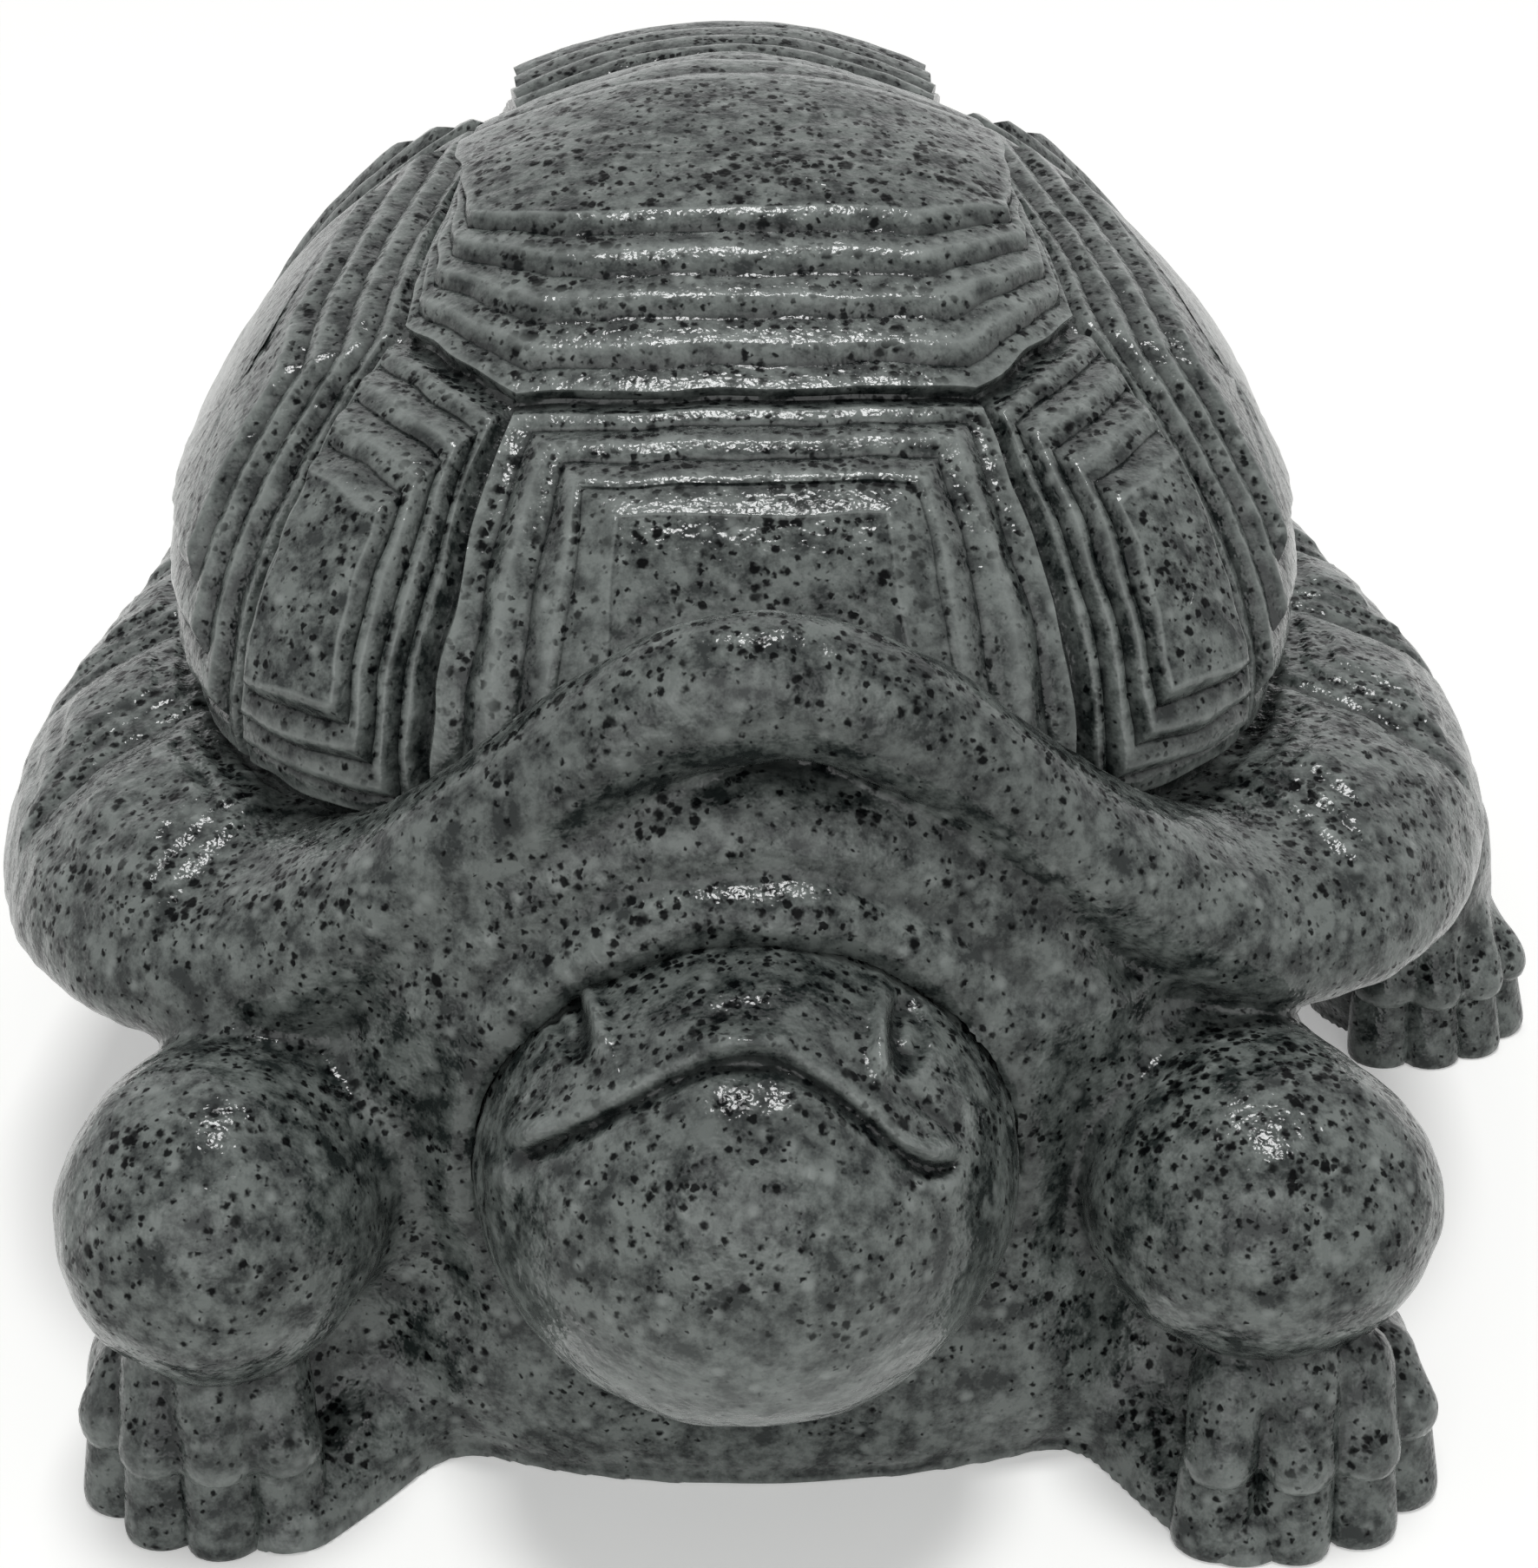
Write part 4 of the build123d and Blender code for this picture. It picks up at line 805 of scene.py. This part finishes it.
def scute(shares, across_share, along_share, plates, foot_anchor):
    """Rings of points from a scute's groove, over its stacked plates, to the middle of its plateau."""
    corners = np.array([scute_corner(*share) for share in shares])
    sides = []
    for start, end in zip(corners, np.roll(corners, -1, axis=0)):
        count = max(int(np.linalg.norm(end - start) / POINT_SPACING), 2)
        sides.append(start + (end - start) * np.arange(count)[:, None] / count)
    outline = np.concatenate(sides)
    middle = corners.mean(axis=0)
    outward = middle - DOME_ROOT
    level_axis = np.cross((0.0, 0.0, 1.0), outward) if abs(middle[0]) > 0.01 else np.array((1.0, 0.0, 0.0))
    level_axis = level_axis / np.linalg.norm(level_axis)
    slope_axis = np.cross(outward, level_axis)
    slope_axis = slope_axis / np.linalg.norm(slope_axis)
    anchor = (corners.min(axis=0) + corners.max(axis=0)) / 2
    if foot_anchor:
        foot_middle = (corners[0] + corners[1]) / 2
        anchor = foot_middle + (middle - foot_middle) * SCUTE_FOOT_PULL
    groove_share = 1 - GROOVE_WIDTH / max(np.ptp(corners[:, 0]), GROOVE_WIDTH * 4)
    rings, ring_shades_and_wear = [], []

    def ring(part, inset, shade_and_wear):
        """Outline drawn in: 0 is at the groove's edge, 1 at the plateau's edge, 2 in the middle."""
        offset = outline - anchor
        across = (offset @ level_axis)[:, None] * level_axis
        along = (offset @ slope_axis)[:, None] * slope_axis
        wanted = []
        for share in (across_share, along_share):
            inner = groove_share + (share - groove_share) * min(max(part, 0.0), 1.0)
            wanted.append(inner * (2 - part) if part > 1 else inner + (1 - groove_share) * max(-part, 0.0))
        drawn = anchor + across * wanted[0] + along * wanted[1] + offset - across - along
        rings.append(hand_cut(drawn, np.full(len(drawn), inset)))
        ring_shades_and_wear.append(np.full(len(drawn), shade_and_wear))

    for part, depth, shade_and_wear in GROOVE_WALL:
        ring(part - 1.0, STACK_RISE + depth, shade_and_wear)
    rise = STACK_RISE / plates
    for plate in range(plates):
        for part, lift, shade_and_wear in WIDE_EDGE if foot_anchor and plate == plates - 1 else PLATE_EDGE:
            ring((plate + part) / plates, STACK_RISE - (plate + lift) * rise, shade_and_wear)
    for share in PLATEAU_SHARES:
        ring(2.0 - share, 0.0, 0.0)
    count = len(outline)
    base = sum(len(points) for points in shell_points)
    for level in range(len(rings) - 1):
        for index in range(count):
            after = (index + 1) % count
            shell_quads.append([base + level * count + index, base + level * count + after,
                                base + (level + 1) * count + after, base + (level + 1) * count + index])
    last = base + (len(rings) - 1) * count
    crown = last + count
    for index in range(count):
        shell_quads.append([last + index, last + (index + 1) % count, crown])
    shell_points.extend(rings)
    shell_points.append(rings[-1].mean(axis=0)[None])
    shell_shade_and_wear.extend(ring_shades_and_wear)
    shell_shade_and_wear.append(np.zeros(1))


FRONT_VERTEBRAL = [(-0.51, -0.95), (0.51, -0.95), (0.385, -0.7), (-0.385, -0.7)]
SECOND_VERTEBRAL = [(-0.385, -0.7), (0.385, -0.7), (0.577, -0.52), (0.42, 0.1), (-0.42, 0.1), (-0.577, -0.52)]
THIRD_VERTEBRAL = [(-0.42, 0.1), (0.42, 0.1), (0.5, 0.52), (0.32, 0.72), (-0.32, 0.72), (-0.5, 0.52)]
REAR_VERTEBRAL = [(0.42, 0.895), (-0.42, 0.895), (-0.32, 0.72), (0.32, 0.72)]
# Corners, and the share of the scute's width that its plateau takes up
COSTALS = (
    ([(0.51, -0.95), (0.815, -0.795), (0.577, -0.52), (0.385, -0.7)], 0.45),
    ([(0.815, -0.795), (0.985, 0.1), (0.42, 0.1), (0.577, -0.52)], 0.5),
    ([(0.985, 0.1), (0.7, 0.7), (0.5, 0.52), (0.42, 0.1)], 0.5),
    ([(0.7, 0.7), (0.42, 0.895), (0.32, 0.72), (0.5, 0.52)], 0.45),
)
COSTAL_ALONG, COSTAL_PLATES = 0.37, 3
scute(FRONT_VERTEBRAL, 0.42, 0.67, 3, True)
scute(SECOND_VERTEBRAL, 0.75, 0.24, 4, False)
scute(THIRD_VERTEBRAL, 0.7, 0.3, 4, False)
scute(REAR_VERTEBRAL, 0.45, 0.62, 3, True)
for shares, across_share in COSTALS:
    mirrored = [(-across, along) for across, along in reversed(shares)]
    for side_shares in (shares, mirrored):
        scute(side_shares, across_share, COSTAL_ALONG, COSTAL_PLATES, False)

carapace_mesh = bpy.data.meshes.new("carapace")
carapace_mesh.from_pydata(np.concatenate(shell_points) * MM, [], shell_quads)
# Painted shade in the grooves and at the feet of the plates, worn pale stone on their edges
mark(carapace_mesh, "shade_and_wear", np.concatenate(shell_shade_and_wear))
work = bmesh.new()
work.from_mesh(carapace_mesh)
bmesh.ops.remove_doubles(work, verts=work.verts, dist=MERGE_GAP * MM)
foot_edges = [edge for edge in work.edges if edge.is_boundary]
skirt = bmesh.ops.extrude_edge_only(work, edges=foot_edges)["geom"]
for vert in skirt:
    if isinstance(vert, bmesh.types.BMVert):
        vert.co.z = SEAT_Z * MM
bmesh.ops.contextual_create(work, geom=[edge for edge in work.edges if edge.is_boundary])
bmesh.ops.recalc_face_normals(work, faces=work.faces)
work.to_mesh(carapace_mesh)
work.free()
finish_casting("carapace_cast", "carapace", carapace_mesh)

# Claws: four blunt claws on each foot, cast in one with it, which come out from under the skin fold of a toe.
# One shape repeats on all feet, so a node tree sets it on the toes. Extra rows along it keep its ends blunt.
CLAW_MIDDLE_Z, CLAW_ROWS, CLAW_SMOOTHING = 2.7, 4, 3
CLAW_WIDTH, CLAW_THICKNESS, CLAW_LENGTH, CLAW_TILT = 5.6, 5.0, 8.4, math.radians(72.0)


def claw_tree():
    tree = bpy.data.node_groups.new("claws", "GeometryNodeTree")
    tree.is_modifier = True
    tree.interface.new_socket("Toes", in_out="INPUT", socket_type="NodeSocketGeometry")
    for name in ("Width", "Thickness", "Length", "Tilt"):
        tree.interface.new_socket(name, in_out="INPUT", socket_type="NodeSocketFloat")
    tree.interface.new_socket("Stone", in_out="INPUT", socket_type="NodeSocketMaterial")
    tree.interface.new_socket("Claws", in_out="OUTPUT", socket_type="NodeSocketGeometry")
    given = node(tree, "NodeGroupInput").outputs
    size = node(tree, "ShaderNodeCombineXYZ", i0=given["Width"], i1=given["Length"], i2=given["Thickness"])
    block = node(tree, "GeometryNodeMeshCube", Size=size.outputs[0], Vertices_Y=CLAW_ROWS)
    rounded = node(tree, "GeometryNodeSubdivisionSurface", Mesh=block.outputs["Mesh"], Level=CLAW_SMOOTHING)
    heading = node(tree, "GeometryNodeInputNamedAttribute", Name="heading")
    turn = node(tree, "ShaderNodeCombineXYZ", i0=given["Tilt"], i2=heading.outputs["Attribute"])
    spread = node(tree, "GeometryNodeInstanceOnPoints", Points=given["Toes"], Instance=rounded.outputs[0],
                  Rotation=turn.outputs[0])
    real = node(tree, "GeometryNodeRealizeInstances", Geometry=spread.outputs[0])
    dressed = node(tree, "GeometryNodeSetMaterial", Geometry=real.outputs[0], Material=given["Stone"])
    node(tree, "NodeGroupOutput", Claws=dressed.outputs[0])
    return tree


claw_nodes = claw_tree()
claw_sizes = {"Width": CLAW_WIDTH * MM, "Thickness": CLAW_THICKNESS * MM, "Length": CLAW_LENGTH * MM,
              "Tilt": CLAW_TILT, "Stone": stone}
for leg, places in claws.items():
    toes = bpy.data.meshes.new(leg + "_toes")
    toes.from_pydata([(x * MM, y * MM, CLAW_MIDDLE_Z * MM) for x, y, _ in places], [], [])
    mark(toes, "heading", np.array([turn for _, _, turn in places]))
    holder = add_piece(leg + "_toes", toes)
    modifier = holder.modifiers.new("claws", "NODES")
    modifier.node_group = claw_nodes
    for item in claw_nodes.interface.items_tree:
        if item.in_out == "INPUT" and item.name in claw_sizes:
            modifier[item.identifier] = claw_sizes[item.name]
    bpy.context.view_layer.update()
    claw_mesh = bpy.data.meshes.new_from_object(holder.evaluated_get(bpy.context.evaluated_depsgraph_get()))
    bpy.data.objects.remove(holder)
    points = np.empty(len(claw_mesh.vertices) * 3)
    claw_mesh.vertices.foreach_get("co", points)
    points = points.reshape(-1, 3)
    points[:, 2] = np.maximum(points[:, 2], 0.0)
    claw_mesh.vertices.foreach_set("co", points.ravel())
    mark(claw_mesh, "shade_and_wear", np.zeros(len(points)))
    finish_casting(leg.replace("_leg", "_claws"), leg, claw_mesh)

# Dowels: plain ground steel pins, glued half into either casting, out of sight in the finished tortoise.
# The eye would see bright, satin metal.
PIN_STEEL, GRIND_SIZE = "#c3c4c6", 0.4
steel = bpy.data.materials.new("ground_steel_pin")
steel.use_nodes = True
steel_shader = steel.node_tree.nodes["Principled BSDF"]
steel_shader.inputs["Metallic"].default_value = 1.0
steel_shader.inputs["Base Color"].default_value = linear(PIN_STEEL)
grind = node(steel.node_tree, "ShaderNodeTexNoise", Scale=1 / (GRIND_SIZE * MM),
             Vector=node(steel.node_tree, "ShaderNodeTexCoord").outputs["Object"])
satin = node(steel.node_tree, "ShaderNodeMapRange", Value=grind.outputs["Fac"], To_Min=0.25, To_Max=0.4)
steel.node_tree.links.new(satin.outputs[0], steel_shader.inputs["Roughness"])
for piece in bpy.data.objects:
    if "dowel" in piece.name and piece.type == "MESH":
        piece.data.materials.clear()
        piece.data.materials.append(steel)

# Studio: a table in matt white paint, which keeps the shadow and looks a little brighter than it is lit, in
# a white room with a small soft lamp above, a wide window in front and the camera where the photo was taken.
TABLE_PAINT, TABLE_ROUGHNESS, TABLE_GLOW, TABLE_HALF = "#f1f1ef", 0.9, 0.3, 3
floor_mesh = bpy.data.meshes.new("floor")
floor_mesh.from_pydata([(x * TABLE_HALF, y * TABLE_HALF, 0) for x, y in ((-1, -1), (1, -1), (1, 1), (-1, 1))],
                       [], [(0, 1, 2, 3)])
paint = bpy.data.materials.new("matt_white_table")
paint.use_nodes = True
paint_shader = paint.node_tree.nodes["Principled BSDF"]
paint_shader.inputs["Base Color"].default_value = linear(TABLE_PAINT)
paint_shader.inputs["Roughness"].default_value = TABLE_ROUGHNESS
paint_shader.inputs["Emission Color"].default_value = (1.0, 1.0, 1.0, 1.0)


def seen(tree):
    """1 where the camera sees a surface, straight or in a reflection, and 0 where it only sends light."""
    path = node(tree, "ShaderNodeLightPath").outputs
    sight = node(tree, "ShaderNodeMath", {"operation": "MAXIMUM"}, i0=path["Is Camera Ray"],
                 i1=path["Is Glossy Ray"])
    return node(tree, "ShaderNodeMath", {"operation": "MAXIMUM"}, i0=sight.outputs[0],
                i1=path["Is Transmission Ray"]).outputs[0]


glow = node(paint.node_tree, "ShaderNodeMapRange", Value=seen(paint.node_tree), To_Max=TABLE_GLOW)
paint.node_tree.links.new(glow.outputs[0], paint_shader.inputs["Emission Strength"])
floor_mesh.materials.append(paint)
floor = add_piece("floor", floor_mesh)

PHOTO_WIDTH, PHOTO_HEIGHT, FOCAL_PIXELS, SENSOR = 1772, 1806, 3000.0, 36.0
CAMERA_AT = (-5.92, -196.83, 120.3)
CAMERA_PITCH, CAMERA_TURN = 28.0, -2.5
camera_data = bpy.data.cameras.new("camera")
camera_data.sensor_width = SENSOR
camera_data.lens = FOCAL_PIXELS * SENSOR / max(PHOTO_WIDTH, PHOTO_HEIGHT)
camera_data.clip_start = 0.01
camera = bpy.data.objects.new("camera", camera_data)
camera.location = Vector(CAMERA_AT) * MM
camera.rotation_euler = (math.radians(90 - CAMERA_PITCH), 0, math.radians(CAMERA_TURN))
bpy.context.scene.collection.objects.link(camera)
bpy.context.scene.camera = camera

# Size, watts, place in metres, turn
LAMPS = {
    "ceiling_lamp": (0.48, 18.5, (0.05, 0.0, 2.0), (0.0, 0.0, 0.0)),
    "window": (1.6, 9.0, (-0.2, -1.7, 0.8), (math.radians(65.0), 0.0, math.radians(-6.5))),
}
for name, (size, watts, location, turn) in LAMPS.items():
    lamp_data = bpy.data.lights.new(name, "AREA")
    lamp_data.size = size
    lamp_data.energy = watts
    lamp = bpy.data.objects.new(name, lamp_data)
    lamp.location = location
    lamp.rotation_euler = turn
    bpy.context.scene.collection.objects.link(lamp)

ROOM_LIGHT = 0.3
world = bpy.data.worlds.new("white_room")
bpy.context.scene.world = world
world.use_nodes = True
room_tree = world.node_tree
strength = node(room_tree, "ShaderNodeMapRange", Value=seen(room_tree), To_Min=ROOM_LIGHT, To_Max=1.0)
backdrop = room_tree.nodes["Background"]
backdrop.inputs["Color"].default_value = (1.0, 1.0, 1.0, 1.0)
room_tree.links.new(strength.outputs[0], backdrop.inputs["Strength"])
bpy.context.scene.view_settings.view_transform = "Standard"
